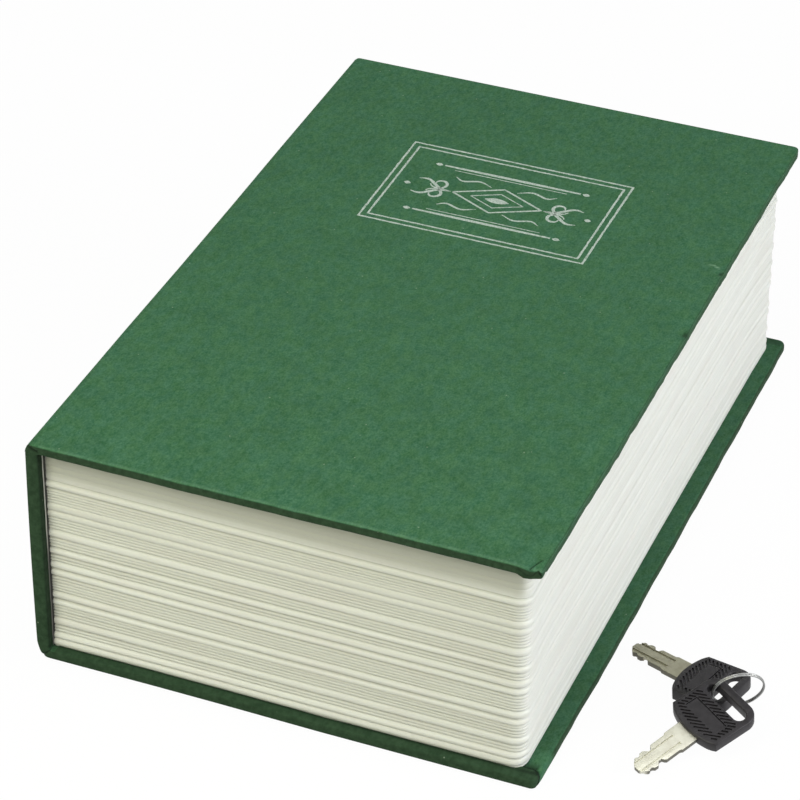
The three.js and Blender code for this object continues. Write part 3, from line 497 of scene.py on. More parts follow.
def dress(piece, body, slot, *replaced):
    """Fixes a finished piece to its body, and hides the solids that it stands for."""
    if body is not None:
        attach(piece, body)
    if replaced:
        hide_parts(*replaced)
    return piece


def points_of(mesh):
    """A mesh's points in millimetres."""
    flat = np.empty(len(mesh.vertices) * 3)
    mesh.vertices.foreach_get("co", flat)
    return flat.reshape(-1, 3) / MM


def reshaped(piece, change, *how):
    """A piece whose points, in millimetres, have gone through a change."""
    placed = change(points_of(piece.data), *how) * MM
    piece.data.vertices.foreach_set("co", placed.astype(np.float32).ravel())
    piece.data.update()
    return piece


def set_vectors(piece, name, values):
    layer = piece.data.attributes.new(name, "FLOAT_VECTOR", "POINT")
    layer.data.foreach_set("vector", np.asarray(values, np.float32).ravel())


def softened(node, width, material, body, slot):
    """A CAD node with its edges rounded, in place of the node."""
    mesh = nodes[node].data.copy()
    mesh.materials.clear()
    mesh.materials.append(material)
    form = bmesh.new()
    form.from_mesh(mesh)
    bmesh.ops.remove_doubles(form, verts=form.verts, dist=0.002 * MM)
    bmesh.ops.dissolve_limit(form, angle_limit=0.01, verts=form.verts, edges=form.edges)
    form.to_mesh(mesh)
    form.free()
    piece = bpy.data.objects.new(node + "_worn", mesh)
    bpy.context.scene.collection.objects.link(piece)
    bevel = piece.modifiers.new("rims", "BEVEL")
    bevel.width = width * MM
    bevel.segments = 2
    bevel.limit_method = "ANGLE"
    bevel.angle_limit = math.radians(28)
    return dress(settled(piece), body, slot, node)


def grid_lines(low, high, coarse, *zones):
    """Lines from low to high, coarse apart, and closer inside zones given as (from, to, pitch)."""
    stops = sorted({low, high, *[stop for zone in zones for stop in zone[:2]]})
    values = [low]
    for start, end in zip(stops, stops[1:]):
        middle = (start + end) / 2
        pitch = min([zone[2] for zone in zones if zone[0] <= middle <= zone[1]] + [coarse])
        values.extend(np.linspace(start, end, max(1, round((end - start) / pitch)) + 1)[1:])
    return np.array(values)


def block_skin(xs, ys, zs, keep=None):
    """Points and outward quads of a block's surface on the given grid lines.
    keep takes the middles of the quads and says which of them stay."""
    number = np.full((len(xs), len(ys), len(zs)), -1)
    surface = np.ones(number.shape, bool)
    surface[1:-1, 1:-1, 1:-1] = False
    number[surface] = np.arange(surface.sum())
    points = np.stack(np.meshgrid(xs, ys, zs, indexing="ij"), -1)[surface]
    quads = []
    for axis in range(3):
        for side in (0, -1):
            sheet = np.take(number, side, axis=axis)
            corners = [sheet[:-1, :-1], sheet[1:, :-1], sheet[1:, 1:], sheet[:-1, 1:]]
            faces = np.stack(corners, -1).reshape(-1, 4)
            quads.append(faces[:, ::-1] if (side == 0) != (axis == 1) else faces)
    quads = np.concatenate(quads)
    if keep is not None:
        quads = quads[keep(points[quads].mean(axis=1))]
    used, packed = np.unique(quads, return_inverse=True)
    return points[used], packed.reshape(quads.shape)


def rounded(points, low, high, radii, rim, axes=(0, 1, 2)):
    """Points of a block's surface moved to round its corners and rims. The first two axes are its
    plan, with corner radii[side][side], and its rims lie along the third."""
    u, v, w = axes
    low, high = np.asarray(low, float), np.asarray(high, float)
    moved = np.asarray(points, float).copy()
    middle, half = (low + high) / 2, (high - low) / 2
    local = moved - middle
    side = np.where(local[:, [u, v]] < 0, -1.0, 1.0)
    table = np.asarray(radii, float)
    radius = table[(side[:, 0] > 0).astype(int), (side[:, 1] > 0).astype(int)]
    out = np.abs(local[:, [u, v]]) - (half[[u, v]] - radius[:, None])
    reach = out.max(axis=1)
    inset = radius - reach
    depth = half[w] - np.abs(local[:, w])
    a, b = np.clip(rim - inset, 0, None), np.clip(rim - depth, 0, None)
    length = np.hypot(a, b)
    share = np.divide(np.maximum(a, b), length, out=np.ones_like(length), where=length > 1e-9)
    new_inset = np.where(a > 0, rim - a * share, inset)
    new_depth = np.where(b > 0, rim - b * share, depth)
    scale = np.divide(radius - new_inset, reach, out=np.ones_like(reach), where=reach > 1e-9)
    out = np.where(out > 0, out * scale[:, None], out)
    both = np.clip(out, 0, None)
    span = np.hypot(both[:, 0], both[:, 1])
    turn = np.divide(both.max(axis=1), span, out=np.ones_like(span), where=span > 1e-9)
    out = np.where(out > 0, out * turn[:, None], out)
    local[:, [u, v]] = side * (half[[u, v]] - radius[:, None] + out)
    local[:, w] = np.where(local[:, w] < 0, -1.0, 1.0) * (half[w] - new_depth)
    return local + middle


def rounded_block(lines, radii, rim, axes=(0, 1, 2)):
    """Points and quads of a block on grid lines, with its corners and rims rounded."""
    points, quads = block_skin(*lines)
    low, high = [line[0] for line in lines], [line[-1] for line in lines]
    return rounded(points, low, high, radii, rim, axes), quads


def away_from(points, line):
    """Distance of each point from a line of points."""
    line = np.asarray(line, float)
    best = np.full(len(points), 1e9)
    for start, end in zip(line, line[1:]):
        along = end - start
        share = np.clip((points - start) @ along / (along @ along), 0, 1)
        best = np.minimum(best, np.linalg.norm(points - start - share[:, None] * along, axis=1))
    return best


def furrow(points, line, width):
    """1 on a crease's line, fading to 0 beside it."""
    return np.exp(-((away_from(points, line) / width) ** 2))


def turned(points, place, turn=0.0, tilt=0.0, roll=0.0):
    """Points of a piece's own frame, rolled, tilted up at +X, turned, and put in place."""
    turn, tilt, roll = np.radians([turn, -tilt, roll])
    about_z = np.array([[np.cos(turn), -np.sin(turn), 0], [np.sin(turn), np.cos(turn), 0], [0, 0, 1]])
    about_y = np.array([[np.cos(tilt), 0, np.sin(tilt)], [0, 1, 0], [-np.sin(tilt), 0, np.cos(tilt)]])
    about_x = np.array([[1, 0, 0], [0, np.cos(roll), -np.sin(roll)], [0, np.sin(roll), np.cos(roll)]])
    return np.asarray(points) @ (about_z @ about_y @ about_x).T + np.asarray(place)


# ---------------------------------------------------------------- how the book is out of true

# The back board sags towards its tail and fore corner, its fore edge stands out, and the front
# cover lies higher at the head. The block's fore and tail sides are drawn in or stand out, it
# flares at its foot, and its ribs sink towards the fore edge. Each table has places along an
# axis, and then the millimetres or shares there.
SAG_ALONG = ((-30, -15, 9, 57.5), (0, 0.12, 0.48, 0.6))
SAG_ACROSS = ((-90, 40, 90), (1, 0.3, 0.15))
FORE_OUT = ((-90, -70, -43, -16, 11, 38, 66, 90), (0.6, 0.66, 0.88, 0.74, 0.68, 0.52, 0.4, 0.3))
HEAD_RISE = 0.45
COVER_FORE = ((-90, -68, -41, -13, 15, 42, 70, 90), (0.3, 0.32, 0.46, 0.3, 0.08, -0.15, -0.28, -0.3))
COVER_JOINT = ((-90, -71, -42, -14, 14, 42, 71, 90), (0.35, 0.35, 0.36, 0.15, 0.16, 0.33, 0.34, 0.34))
BLOCK_FORE = ((-87, -82, 0, 30, 60, 87), (0, 0, -0.3, -0.5, -0.45, 0.0))
BLOCK_SINK = 0.55
BLOCK_FLARE = 0.6
BLOCK_TAIL = ((-55, -20, 30), (0.3, 0.25, 0))
BLOCK_DROOP = ((-54, -48, -24, 0, 24, 54), (0.05, 0.14, 0.42, 0.66, 0.8, 0.8))
RIB_SHIFT = ((31, 35, 42, 46), (0, 0.32, 0.32, -0.12))
OUTER_X, OUTER_Y = (51.8, 53.0), (84.3, 85.5)  # between the pocket's walls and the block's sides
RIBS_END = SPINE_X + COVER + 0.12  # where the ribs meet the spine's lining


def sag(x, y):
    return np.interp(x, *SAG_ALONG) * np.interp(y, *SAG_ACROSS)


def case_set(points):
    """Points of the back board and its cloth, moved as the board lies."""
    x, y, z = points.T
    low = step(25, 4, z)
    moved = points.copy()
    moved[:, 0] += np.interp(y, *FORE_OUT) * np.clip((x - 44) / 13.5, 0, 1) * low
    moved[:, 2] -= sag(x, y) * low
    return moved


def block_set(points):
    """Points of the page block: it droops towards its fore edge, flares at its foot, and its fore
    side is drawn in. The pocket inside stays."""
    x, y, z = points.T
    outer = np.maximum(step(*OUTER_Y, np.abs(y)), step(*OUTER_X, x))
    foot = step(14, 3, z)
    droop = np.interp(x, *BLOCK_DROOP) * np.interp(y, (-87, 0, 87), (1, 0.8, 0.6)) - np.interp(z, *RIB_SHIFT)
    sink = BLOCK_SINK * step(2.5, 9, z) * step(54.2, 47, z) * step(-86, -79, y) * step(86, 78, y)
    moved = points.copy()
    moved[:, 0] += (np.interp(y, *BLOCK_FORE) - sink) * step(*OUTER_X, x)
    moved[:, 0] = np.where(x < RIBS_END, RIBS_END - 0.05 * (RIBS_END - x), moved[:, 0])
    moved[:, 1] -= (BLOCK_FLARE * step(9, 2.5, z) + np.interp(x, *BLOCK_TAIL)) * step(-84.3, -86.0, y)
    moved[:, 2] -= ((sag(x, y) + 0.12) * foot + droop * (1 - foot) * step(54.2, 50, z)) * outer
    return moved


# ---------------------------------------------------------------- front cover

# Folds of the cloth at the near corner of the front cover
CORNER_FOLD = [(54.7, -90.2, 57.0), (55.0, -88.9, 57.0), (55.3, -88.1, 57.0), (56.0, -86.3, 57.0)]
CORNER_TIP = [(56.6, -90.0, 56.9), (57.1, -90.0, 56.1), (57.7, -90.0, 55.2)]
CORNER_TAB = [(52.3, -90.0, 56.2), (54.0, -90.0, 55.5), (55.4, -90.0, 55.5), (56.5, -90.0, 56.9)]
SAG = ((-48, -26, -9, 8, 25, 42, 52, 54.8, 57.5), (-0.05, 0.11, 0.11, 0.02, -0.08, -0.06, -0.04, 0.28, 0.12))
LUMP = ((52.0, 52.9, 53.5, 55.3, 57.5), (0, 0.34, 0.56, 0.12, -0.52))
DENTS = ((56.9, 29.3, 0.9, 0.34), (57.0, 2.6, 1.1, 0.26), (57.1, -47.0, 1.4, 0.16))


def cover_warp(points):
    """How the front cover departs from flat: it sags at the tail, its fore edge wanders, and the
    folded cloth is thick at the near corner."""
    x, y, z = points.T
    under = step(56.2, 54.9, z)
    fore = step(55.2, 57.3, x)
    moved = points.copy()
    moved[:, 2] -= np.interp(x, *SAG) * step(-76, -90, y)
    moved[:, 2] += HEAD_RISE * (y + 90) / 180
    moved[:, 0] += np.interp(y, *COVER_FORE) * np.clip((x - 20) / 37, 0, 1)
    moved[:, 2] -= np.interp(x, *LUMP) * under * step(-86.8, -87.6, y)
    moved[:, 2] += 0.1 * wander(y, 7.0, 5) * step(30, 57, x) * step(-89, -80, y)
    moved[:, 2] += 0.12 * wander(y, 1.6, 9) * under * fore
    moved[:, 0] += (0.09 * wander(y, 4.2, 3) + 0.05 * wander(y, 0.9, 4)) * fore
    moved[:, 1] += 0.06 * wander(x, 4.0, 6) * step(-89.2, -89.9, y)
    for dent_x, dent_y, width, depth in DENTS:
        hollow = depth * np.exp(-(((x - dent_x) / width) ** 2) - ((y - dent_y) / width) ** 2)
        moved[:, 2] -= hollow * step(55.5, 56.8, z)
        moved[:, 0] -= 0.35 * hollow * fore
    beside = [(fold_x + 0.55, fold_y, fold_z) for fold_x, fold_y, fold_z in CORNER_FOLD]
    moved[:, 2] -= 0.3 * furrow(points, CORNER_FOLD, 0.22) * step(56.2, 56.8, z)
    moved[:, 2] += 0.14 * furrow(points, beside, 0.4) * step(56.2, 56.8, z)
    moved[:, 1] += 0.28 * furrow(points, CORNER_TIP, 0.2) + 0.16 * furrow(points, CORNER_TAB, 0.2)
    return moved


def front_cloth():
    xs = grid_lines(FRONT_X, FORE_X, 2.4, (50.5, 57.5, 0.4), (54.2, 57.5, 0.18), (45.0, 46.0, 0.5),
                    (FRONT_X, -54.0, 0.5))
    ys = grid_lines(TAIL_Y, HEAD_Y, 2.0, (-90, -85, 0.22), (88, 90, 0.25), (26, 33, 0.5),
                    (0, 6, 0.5), (77.5, 78.5, 0.5), (-78.5, -77.5, 0.5))
    zs = grid_lines(FRONT_Z, TOP_Z, 0.2)

    def keep(middle):
        window = (middle[:, 0] < FORE_X - TURN_IN) & (np.abs(middle[:, 1]) < HEAD_Y - TURN_IN)
        return ~(window & (middle[:, 2] < FRONT_Z + 1e-6))

    points, quads = block_skin(xs, ys, zs, keep)
    inset = np.minimum(FORE_X - points[:, 0], HEAD_Y - np.abs(points[:, 1]))
    ragged = 0.1 + 0.09 * wander(points[:, 0] + points[:, 1], 2.1, 41)
    below = TOP_Z - 0.08 - ragged - points[:, 2]
    # Painted shade on the cover's side faces, a little less on the fore side, and on top near its far edges
    rim = step(0.4, 0.02, inset) * step(0, 0.25, below)
    rim *= np.where(inset > FORE_X - points[:, 0] - 1e-6, 0.8, 1.0)
    top = points[:, 2] > TOP_Z - 1e-6
    far_edge = np.minimum(FORE_X - points[:, 0], HEAD_Y - points[:, 1])
    rim = np.maximum(rim, 0.75 * step(0.45, 0.1, far_edge) * top)
    # Rubbed, paler fibres along the top of the tail edge, with a painted highlight there
    rubbed = (0.16 + 0.1 * wander(points[:, 0], 1.7, 43)) * step(1.0, 0.25, points[:, 1] - TAIL_Y) * top
    shape = rounded(points, (FRONT_X - 20, TAIL_Y, FRONT_Z), (FORE_X, HEAD_Y, TOP_Z),
                    ((1, 1), (TAIL_CORNER, FORE_CORNER)), RIM)
    # Painted shade in the corner's folds and in the dents
    painted_shade = 0.55 * furrow(shape, CORNER_FOLD, 0.2) + furrow(shape, CORNER_TIP, 0.2)
    painted_shade += 0.5 * furrow(shape, CORNER_TAB, 0.18)
    for dent_x, dent_y, width, _ in DENTS[:2]:
        near = ((shape[:, 0] - dent_x) / (0.6 * width)) ** 2 + ((shape[:, 1] - dent_y) / width) ** 2
        painted_shade += 0.8 * np.exp(-near) * step(55.6, 56.4, shape[:, 2])
    # Pale fibres stand up beside the larger dent
    streak = furrow(shape, [(55.9, 31.2, 57.0), (54.6, 31.9, 57.0), (53.4, 31.8, 57.0)], 0.22)
    marks = {"rim": rim, "painted_shade": np.clip(painted_shade, 0, 1), "fray_and_highlight": np.maximum(streak, rubbed)}
    piece = thickened(made("cover_cloth", cover_warp(shape), quads, cloth, marks), CLOTH)
    return dress(piece, "front_cover", "book_cloth", "front_cloth")


def front_board():
    lines = (grid_lines(FRONT_X + 0.05, FORE_X - 0.32, 4.0, (50, 57.2, 0.6)),
             grid_lines(TAIL_Y + 0.32, HEAD_Y - 0.32, 4.0, (-89.7, -84, 0.6)),
             grid_lines(FRONT_Z + 0.3, TOP_Z - 0.32, 0.5))
    shape, quads = rounded_block(lines, ((0.4, 0.4), (2.0, 2.0)), 0.3)
    piece = made("cover_board", cover_warp(shape), quads, board)
    return dress(piece, "front_cover", "grey_board", "front_board")


def front_endpaper():
    """The cover's lining, pressed down inside the turned-in cloth."""
    x1 = FORE_X - PAPER_BORDER
    y1 = HEAD_Y - PAPER_BORDER
    edge = FORE_X - TURN_IN
    xs = grid_lines(FRONT_X, x1, 4.0, (edge - 1, edge + 1, 0.3))
    ys = grid_lines(-y1, y1, 4.0, (77, 79, 0.3), (-79, -77, 0.3))
    zs = np.array([FRONT_Z - PAPER, FRONT_Z])
    points, quads = block_skin(xs, ys, zs)
    shape = rounded(points, (FRONT_X - 20, -y1, zs[0]), (x1, y1, zs[1]), ((1, 1), (1.6, 1.6)), 0.04)
    inside = step(edge + 0.3, edge - 0.5, shape[:, 0]) * step(78.3, 77.5, np.abs(shape[:, 1]))
    shape[:, 2] += 0.2 * inside
    piece = made("cover_lining", cover_warp(shape), quads, paper)
    return dress(piece, "front_cover", "endpaper", "front_endpaper")


# ---------------------------------------------------------------- spine and back cover

STRAIGHT = TOP_Z - FOLD_RADIUS  # of the spine, from its top to the fold
FOLD = FOLD_RADIUS * math.pi / 2
SHEET_LENGTH = STRAIGHT + FOLD + (FORE_X - SPINE_X - FOLD_RADIUS)
TURN_IN_END = [(53.5, -85.9, 2.3), (54.7, -86.1, 2.3), (55.6, -85.9, 2.3), (56.6, -86.7, 2.25),
               (57.3, -87.6, 1.8), (57.5, -88.1, 1.2), (57.5, -88.6, 0.4)]


def fold(points):
    """Points of the case laid out flat, as (along, y, depth), folded round the book: down the
    spine, round the fold, and out along the back cover."""
    along, y, depth = points.T
    angle = np.clip((along - STRAIGHT) / FOLD, 0, 1) * math.pi / 2
    down = np.clip(along / STRAIGHT, 0, 1)
    out = np.clip((along - STRAIGHT - FOLD) / (SHEET_LENGTH - STRAIGHT - FOLD), 0, 1)
    outer_x = SPINE_X + FOLD_RADIUS * (1 - np.cos(angle)) + out * (FORE_X - SPINE_X - FOLD_RADIUS)
    outer_z = TOP_Z - down * STRAIGHT - FOLD_RADIUS * np.sin(angle)
    corner = SPINE_X + COVER
    inner_x = corner + FOLD_FILLET * (1 - np.cos(angle)) + out * (FORE_X - corner - FOLD_FILLET)
    inner_z = TOP_Z - down * (TOP_Z - COVER - FOLD_FILLET) - FOLD_FILLET * np.sin(angle)
    share = depth / COVER
    x = outer_x + (inner_x - outer_x) * share
    z = outer_z + (inner_z - outer_z) * share
    return np.stack([x, y, z], -1)


def spine_bow(points):
    """How far the spine's outer face stands out at each point."""
    x, _, z = points.T
    face = step(SPINE_X + COVER, SPINE_X + 0.3, x)
    out = SPINE_OUT + SPINE_BOW * np.sin(np.pi * np.clip(z / TOP_Z, 0, 1))
    top = np.interp(points[:, 1], *COVER_JOINT)
    return face * (out + (top - out) * step(54.2, 56.8, z)) * step(0.3, 4.5, z)


def case_cloth():
    along = grid_lines(0.45, SHEET_LENGTH, 2.4, (0.45, 3.0, 0.25), (STRAIGHT - 2, STRAIGHT + FOLD + 2, 0.3),
                       (SHEET_LENGTH - 6.5, SHEET_LENGTH, 0.2), (SHEET_LENGTH - 13, SHEET_LENGTH - 11, 0.5))
    ys = grid_lines(TAIL_Y, HEAD_Y, 2.4, (-90, -86, 0.22), (86, 90, 0.3), (77.5, 78.5, 0.5),
                    (-78.5, -77.5, 0.5))
    depths = grid_lines(0, COVER, 0.2)

    def keep(middle):
        window = (middle[:, 0] < SHEET_LENGTH - TURN_IN) & (np.abs(middle[:, 1]) < HEAD_Y - TURN_IN)
        return ~(window & (middle[:, 2] > COVER - 1e-6))

    points, quads = block_skin(along, ys, depths, keep)
    inset = np.minimum(SHEET_LENGTH - points[:, 0], HEAD_Y - np.abs(points[:, 1]))
    # Painted shade on the cloth's side faces
    rim = step(0.42, 0.05, inset)
    # Inside the squares, beside the pages, the cloth is turned in, and painted shade darkens it there
    square = step(HEAD_Y - 3.4, HEAD_Y - 2.6, np.abs(points[:, 1])) * step(COVER - 0.3, COVER, points[:, 2])
    rim = np.maximum(rim, square * np.where(points[:, 0] < STRAIGHT, 1.0, 0.62))
    # Faint painted shade on the back cover's inside face
    rim = np.maximum(rim, 0.25 * step(COVER - 0.3, COVER, points[:, 2]) * (points[:, 0] > STRAIGHT + FOLD))
    shape = rounded(points, (-20, TAIL_Y, 0), (SHEET_LENGTH, HEAD_Y, COVER), ((1, 1), (1.6, 2.0)), 0.65)
    mitre = np.exp(-(((shape[:, 0] - STRAIGHT - FOLD / 2) / 0.3) ** 2)) * step(88.8, 89.8, np.abs(points[:, 1]))
    placed = fold(shape)
    # At the near corner the tail's turn-in ends in a fold, short of the fore edge
    end = furrow(placed, TURN_IN_END, 0.27)
    limit = np.interp(placed[:, 0], (55.2, 56.6, 57.3), (-86.0, -86.8, -87.6))
    limit -= 0.35 * (2 - placed[:, 2]).clip(0)
    # Painted shade on the rolled tail edge, less on the fore side beside it
    tail_roll = step(0, -0.25, placed[:, 1] - limit) * (placed[:, 0] > -54)
    fore_side = step(0.0, 0.5, placed[:, 1] - limit) * (placed[:, 1] < -80)
    rim = np.maximum(rim * (1 - 0.75 * fore_side), 0.95 * tail_roll)
    placed[:, 1] -= np.sign(placed[:, 1]) * 0.25 * mitre
    placed[:, 2] += (0.1 * tail_roll - 0.3 * end) * step(1.6, 2.2, placed[:, 2])
    placed[:, 0] -= 0.25 * end * step(56.8, 57.3, placed[:, 0])
    placed[:, 0] -= spine_bow(placed)
    placed[:, 0] += 0.1 * wander(placed[:, 1], 4.0, 12) * step(56.6, 57.4, placed[:, 0])
    # The top of the spine lies under the joint's cloth
    under = step(JOINT_Z - 0.1, JOINT_Z + 0.15, placed[:, 2]) * (placed[:, 0] < SPINE_X + COVER + 0.01)
    placed[:, 0] += 0.32 * under * step(SPINE_X + COVER, SPINE_X + 0.3, placed[:, 0])
    placed[:, 1] *= 1 - 0.35 / HEAD_Y * under
    inner = step(SPINE_X + COVER - 0.3, SPINE_X + COVER, placed[:, 0])
    inner *= (placed[:, 2] > 2.5) * (placed[:, 0] < -54)
    foot = step(-86.6, -87.2, placed[:, 1]) * step(-88.3, -87.6, placed[:, 1]) * (placed[:, 2] > 2.1)
    # Painted shade in the creases of the mitre and the turn-in's fold, inside the spine, and along the foot of
    # the pages
    marks = {"rim": rim, "painted_shade": np.clip(0.8 * mitre + 3.4 * end + 0.5 * inner + 0.6 * foot, 0, 1)}
    piece = made("spine_and_back_cloth", case_set(placed), quads, cloth, marks)
    piece = thickened(piece, CLOTH)
    return dress(piece, "case", "book_cloth", "case_cloth")


def spine_card():
    lines = (grid_lines(SPINE_X + 0.35, SPINE_X + COVER - 0.3, 0.4),
             grid_lines(TAIL_Y + 0.45, HEAD_Y - 0.45, 6.0),
             grid_lines(0.8, TOP_Z - 0.75, 4.0))
    shape, quads = rounded_block(lines, ((0.6, 0.6), (0.3, 0.3)), 0.25, (0, 2, 1))
    return dress(made("spine_card", shape, quads, board), "case", "grey_board", "spine_board")


def back_card():
    lines = (grid_lines(SPINE_X + COVER + 0.1, FORE_X - 0.36, 3.0, (50, 57.2, 0.5)),
             grid_lines(TAIL_Y + 0.36, HEAD_Y - 0.36, 4.0, (-89.7, -84, 0.5), (84, 89.7, 0.5)),
             grid_lines(0.3, COVER - 0.3, 0.3))
    shape, quads = rounded_block(lines, ((0.4, 0.4), (1.6, 2.2)), 0.6)
    return dress(made("back_card", case_set(shape), quads, board), "case", "grey_board", "back_board")


def spine_paper():
    """The spine's lining, whose cut edges show as a thin pale line beside the pages, with painted shade on its
    face.
    """
    xs = np.array([SPINE_X + COVER, SPINE_X + COVER + 0.14])
    ys = grid_lines(-88.0, 88.0, 4.0, (-88.0, -87.4, 0.1), (87.4, 88.0, 0.1))
    zs = grid_lines(COVER + 0.1, FRONT_Z - 0.35, 0.6)
    points, quads = block_skin(xs, ys, zs)
    away = np.abs(points[:, 1])
    points[:, 1] += 0.05 * wander(points[:, 2], 2.3, 51) * step(87.6, 87.9, away) * np.sign(points[:, 1])
    # Painted shade on the face, and on the lower part of the edge
    edge = step(87.68, 87.82, away) * (0.2 + 0.6 * step(24, 36, points[:, 2]))
    shade = {"painted_shade": np.where(away < 86.9, 0.1, 1 - edge)}
    return dress(made("spine_paper", points, quads, paper, shade), "case", "endpaper", "spine_lining")


def joint_cloth():
    """The strip of cloth between the spine and the front cover, with its folded ends."""
    x1 = FRONT_X + 0.02
    xs = grid_lines(SPINE_X, x1, 0.22)
    ys = grid_lines(TAIL_Y, HEAD_Y, 2.0, (-90, -88.5, 0.25), (88.5, 90, 0.25))
    zs = grid_lines(JOINT_Z, TOP_Z, 0.22)

    def keep(middle):
        return (middle[:, 0] < x1 - 1e-6) & (middle[:, 2] > JOINT_Z + 1e-6)

    points, quads = block_skin(xs, ys, zs, keep)
    low, high = (SPINE_X, TAIL_Y, JOINT_Z - 20), (x1 + 20, HEAD_Y, TOP_Z)
    shape = rounded(points, low, high, ((1, JOINT_RADIUS), (1, 1)), RIM, axes=(0, 2, 1))
    shape[:, 0] -= spine_bow(shape)
    shape[:, 2] += HEAD_RISE * (shape[:, 1] + 90) / 180 * step(JOINT_Z, TOP_Z - 0.6, shape[:, 2])
    ends = step(88.6, 89.8, np.abs(shape[:, 1]))
    # Small puckers where the cloth is folded in at the corner
    pucker = [(-57.2, -90.0, 56.5), (-56.2, -90.0, 55.9), (-55.0, -90.0, 55.6)]
    crease = furrow(shape, pucker, 0.28) + furrow(shape, [(x, -y, z) for x, y, z in pucker], 0.28)
    shape[:, 1] -= np.sign(shape[:, 1]) * 0.22 * crease
    shape[:, 0] += 0.08 * wander(shape[:, 2], 0.25, 21) * ends
    # Painted shade on the folded ends below the top, and in the puckers
    marks = {"rim": ends * step(TOP_Z - 0.1, TOP_Z - 0.3, shape[:, 2]), "painted_shade": 0.9 * np.clip(crease, 0, 1)}
    piece = thickened(made("joint_cloth", shape, quads, cloth, marks), 0.22)
    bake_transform(piece)
    return dress(piece, None, "book_cloth")


# ---------------------------------------------------------------- page block

def block_loop(inset, z, corner=BLOCK_CORNER, spine_corner=BLOCK_SPINE_CORNER, box=None):
    """A closed line round the block, seen from above the way the clock doesn't go."""
    x0, x1, y = box or (BLOCK["x0"] - 0.8 + 0.45 * inset, BLOCK["x1"] - inset, BLOCK["y"] - inset)
    corners = ((x0, -y, spine_corner, 180), (x1, -y, corner, 270),
               (x1, y, corner, 0), (x0, y, spine_corner, 90))
    line = []
    for corner_x, corner_y, radius, start in corners:
        centre_x = corner_x + (radius if corner_x == x0 else -radius)
        centre_y = corner_y + (radius if corner_y < 0 else -radius)
        for angle in np.radians(start + np.linspace(0, 90, 9)):
            line.append((centre_x + radius * np.cos(angle), centre_y + radius * np.sin(angle)))
    # The long sides are divided, so that ribs can run a little unevenly
    full = []
    for i, (start, end) in enumerate(zip(line, line[1:] + line[:1])):
        pieces = 14 if i % 9 == 8 else 1
        full += [tuple(np.array(start) + (np.array(end) - np.array(start)) * k / pieces) for k in range(pieces)]
    return np.array([(px, py, z) for px, py in full])


def new_group(name, *sizes):
    """A geometry tree that takes a base and named numbers, with what it is given."""
    group = bpy.data.node_groups.new(name, "GeometryNodeTree")
    sockets = [("Geometry", "INPUT", "Geometry"), *((size, "INPUT", "Float") for size in sizes),
               ("Geometry", "OUTPUT", "Geometry")]
    for label, way, kind in sockets:
        group.interface.new_socket(label, in_out=way, socket_type="NodeSocket" + kind)
    t = Tree(group)
    return t, t.add("NodeGroupInput").outputs


def end_group(t, form, material):
    """The tree, whose result gets its material."""
    t.add("NodeGroupOutput", Geometry=t.geo("SetMaterial", Geometry=form, Material=material))
    return t.tree


def spots_apart(t, given):
    """The base's loose points, and the rest of it."""
    apart = t.geo("SeparateGeometry", {"domain": "POINT"}, Geometry=given["Geometry"],
                  Selection=t.math("GREATER_THAN", t.attribute("spot"), 0.5))
    return apart.outputs["Selection"], apart.outputs["Inverted"]


def rib_tree():
    """Sweeps each kind of rib along the block's outline and copies it to its heights."""
    t, given = new_group("page_ribs", *RIB_SIZES)
    kind = t.attribute("kind")

    def only(number):
        same = t.add("FunctionNodeCompare", {"data_type": "FLOAT", "operation": "EQUAL"}, Epsilon=0.1)
        t.put_all(same, (0, kind), (1, float(number)))
        return t.geo("SeparateGeometry", {"domain": "POINT"}, Geometry=given["Geometry"], Selection=same)

    path = t.geo("SetCurveNormal", {"mode": "Z_UP"}, Curve=t.geo("MeshToCurve", Mesh=only(1)))
    stretch = t.attribute("stretch", "FLOAT_VECTOR")
    high = t.shade("SeparateXYZ", Vector=t.geo("InputPosition")).outputs["Z"]
    ribs = []
    for number, size, low_mark in ((2, "Bold", 0.0), (3, "Fine", 0.5)):
        half = given[size + " half"]
        scale = t.shade("CombineXYZ", X=given[size + " reach"], Y=half, Z=1.0)
        profile = t.geo("Transform", Geometry=t.circle(14, 1.0), Scale=scale)
        # Painted shade in the grooves beside the rib, most of all below it, as light comes from above
        share = t.math("DIVIDE", high, half)
        below = t.math("MULTIPLY", t.math("MINIMUM", share, 0.0), -0.25)
        dust_and_shade = t.shade("MapRange", {"interpolation_type": "SMOOTHSTEP"},
                       Value=t.math("ADD", t.math("ABSOLUTE", share), below), From_Min=0.35, From_Max=1.1,
                       To_Min=low_mark, To_Max=0.62)
        rib = t.with_painted_shade(t.swept(path, profile, False), dust_and_shade)
        ribs.append(t.copied(only(number), rib, Scale=stretch))
    # The ribs run a little unevenly
    wave = t.math("SUBTRACT", t.shade("TexNoise", Scale=45.0, Detail=1.0), 0.5)
    shift = t.shade("CombineXYZ", Z=t.math("MULTIPLY", wave, 0.28 * MM))
    uneven = t.geo("SetPosition", Geometry=t.joined(*ribs), Offset=shift)
    return end_group(t, t.joined(uneven, only(0)), plastic)


def grown(name, base, group, sizes, sharp=35):
    """The result of a geometry tree on a base object, as a plain piece."""
    grow = base.modifiers.new("grow", "NODES")
    grow.node_group = group
    for item in group.interface.items_tree:
        if item.in_out == "INPUT" and item.name in sizes:
            grow[item.identifier] = sizes[item.name]
    piece = settled(base, sharp)
    piece.name = name
    piece.data.name = name
    return piece


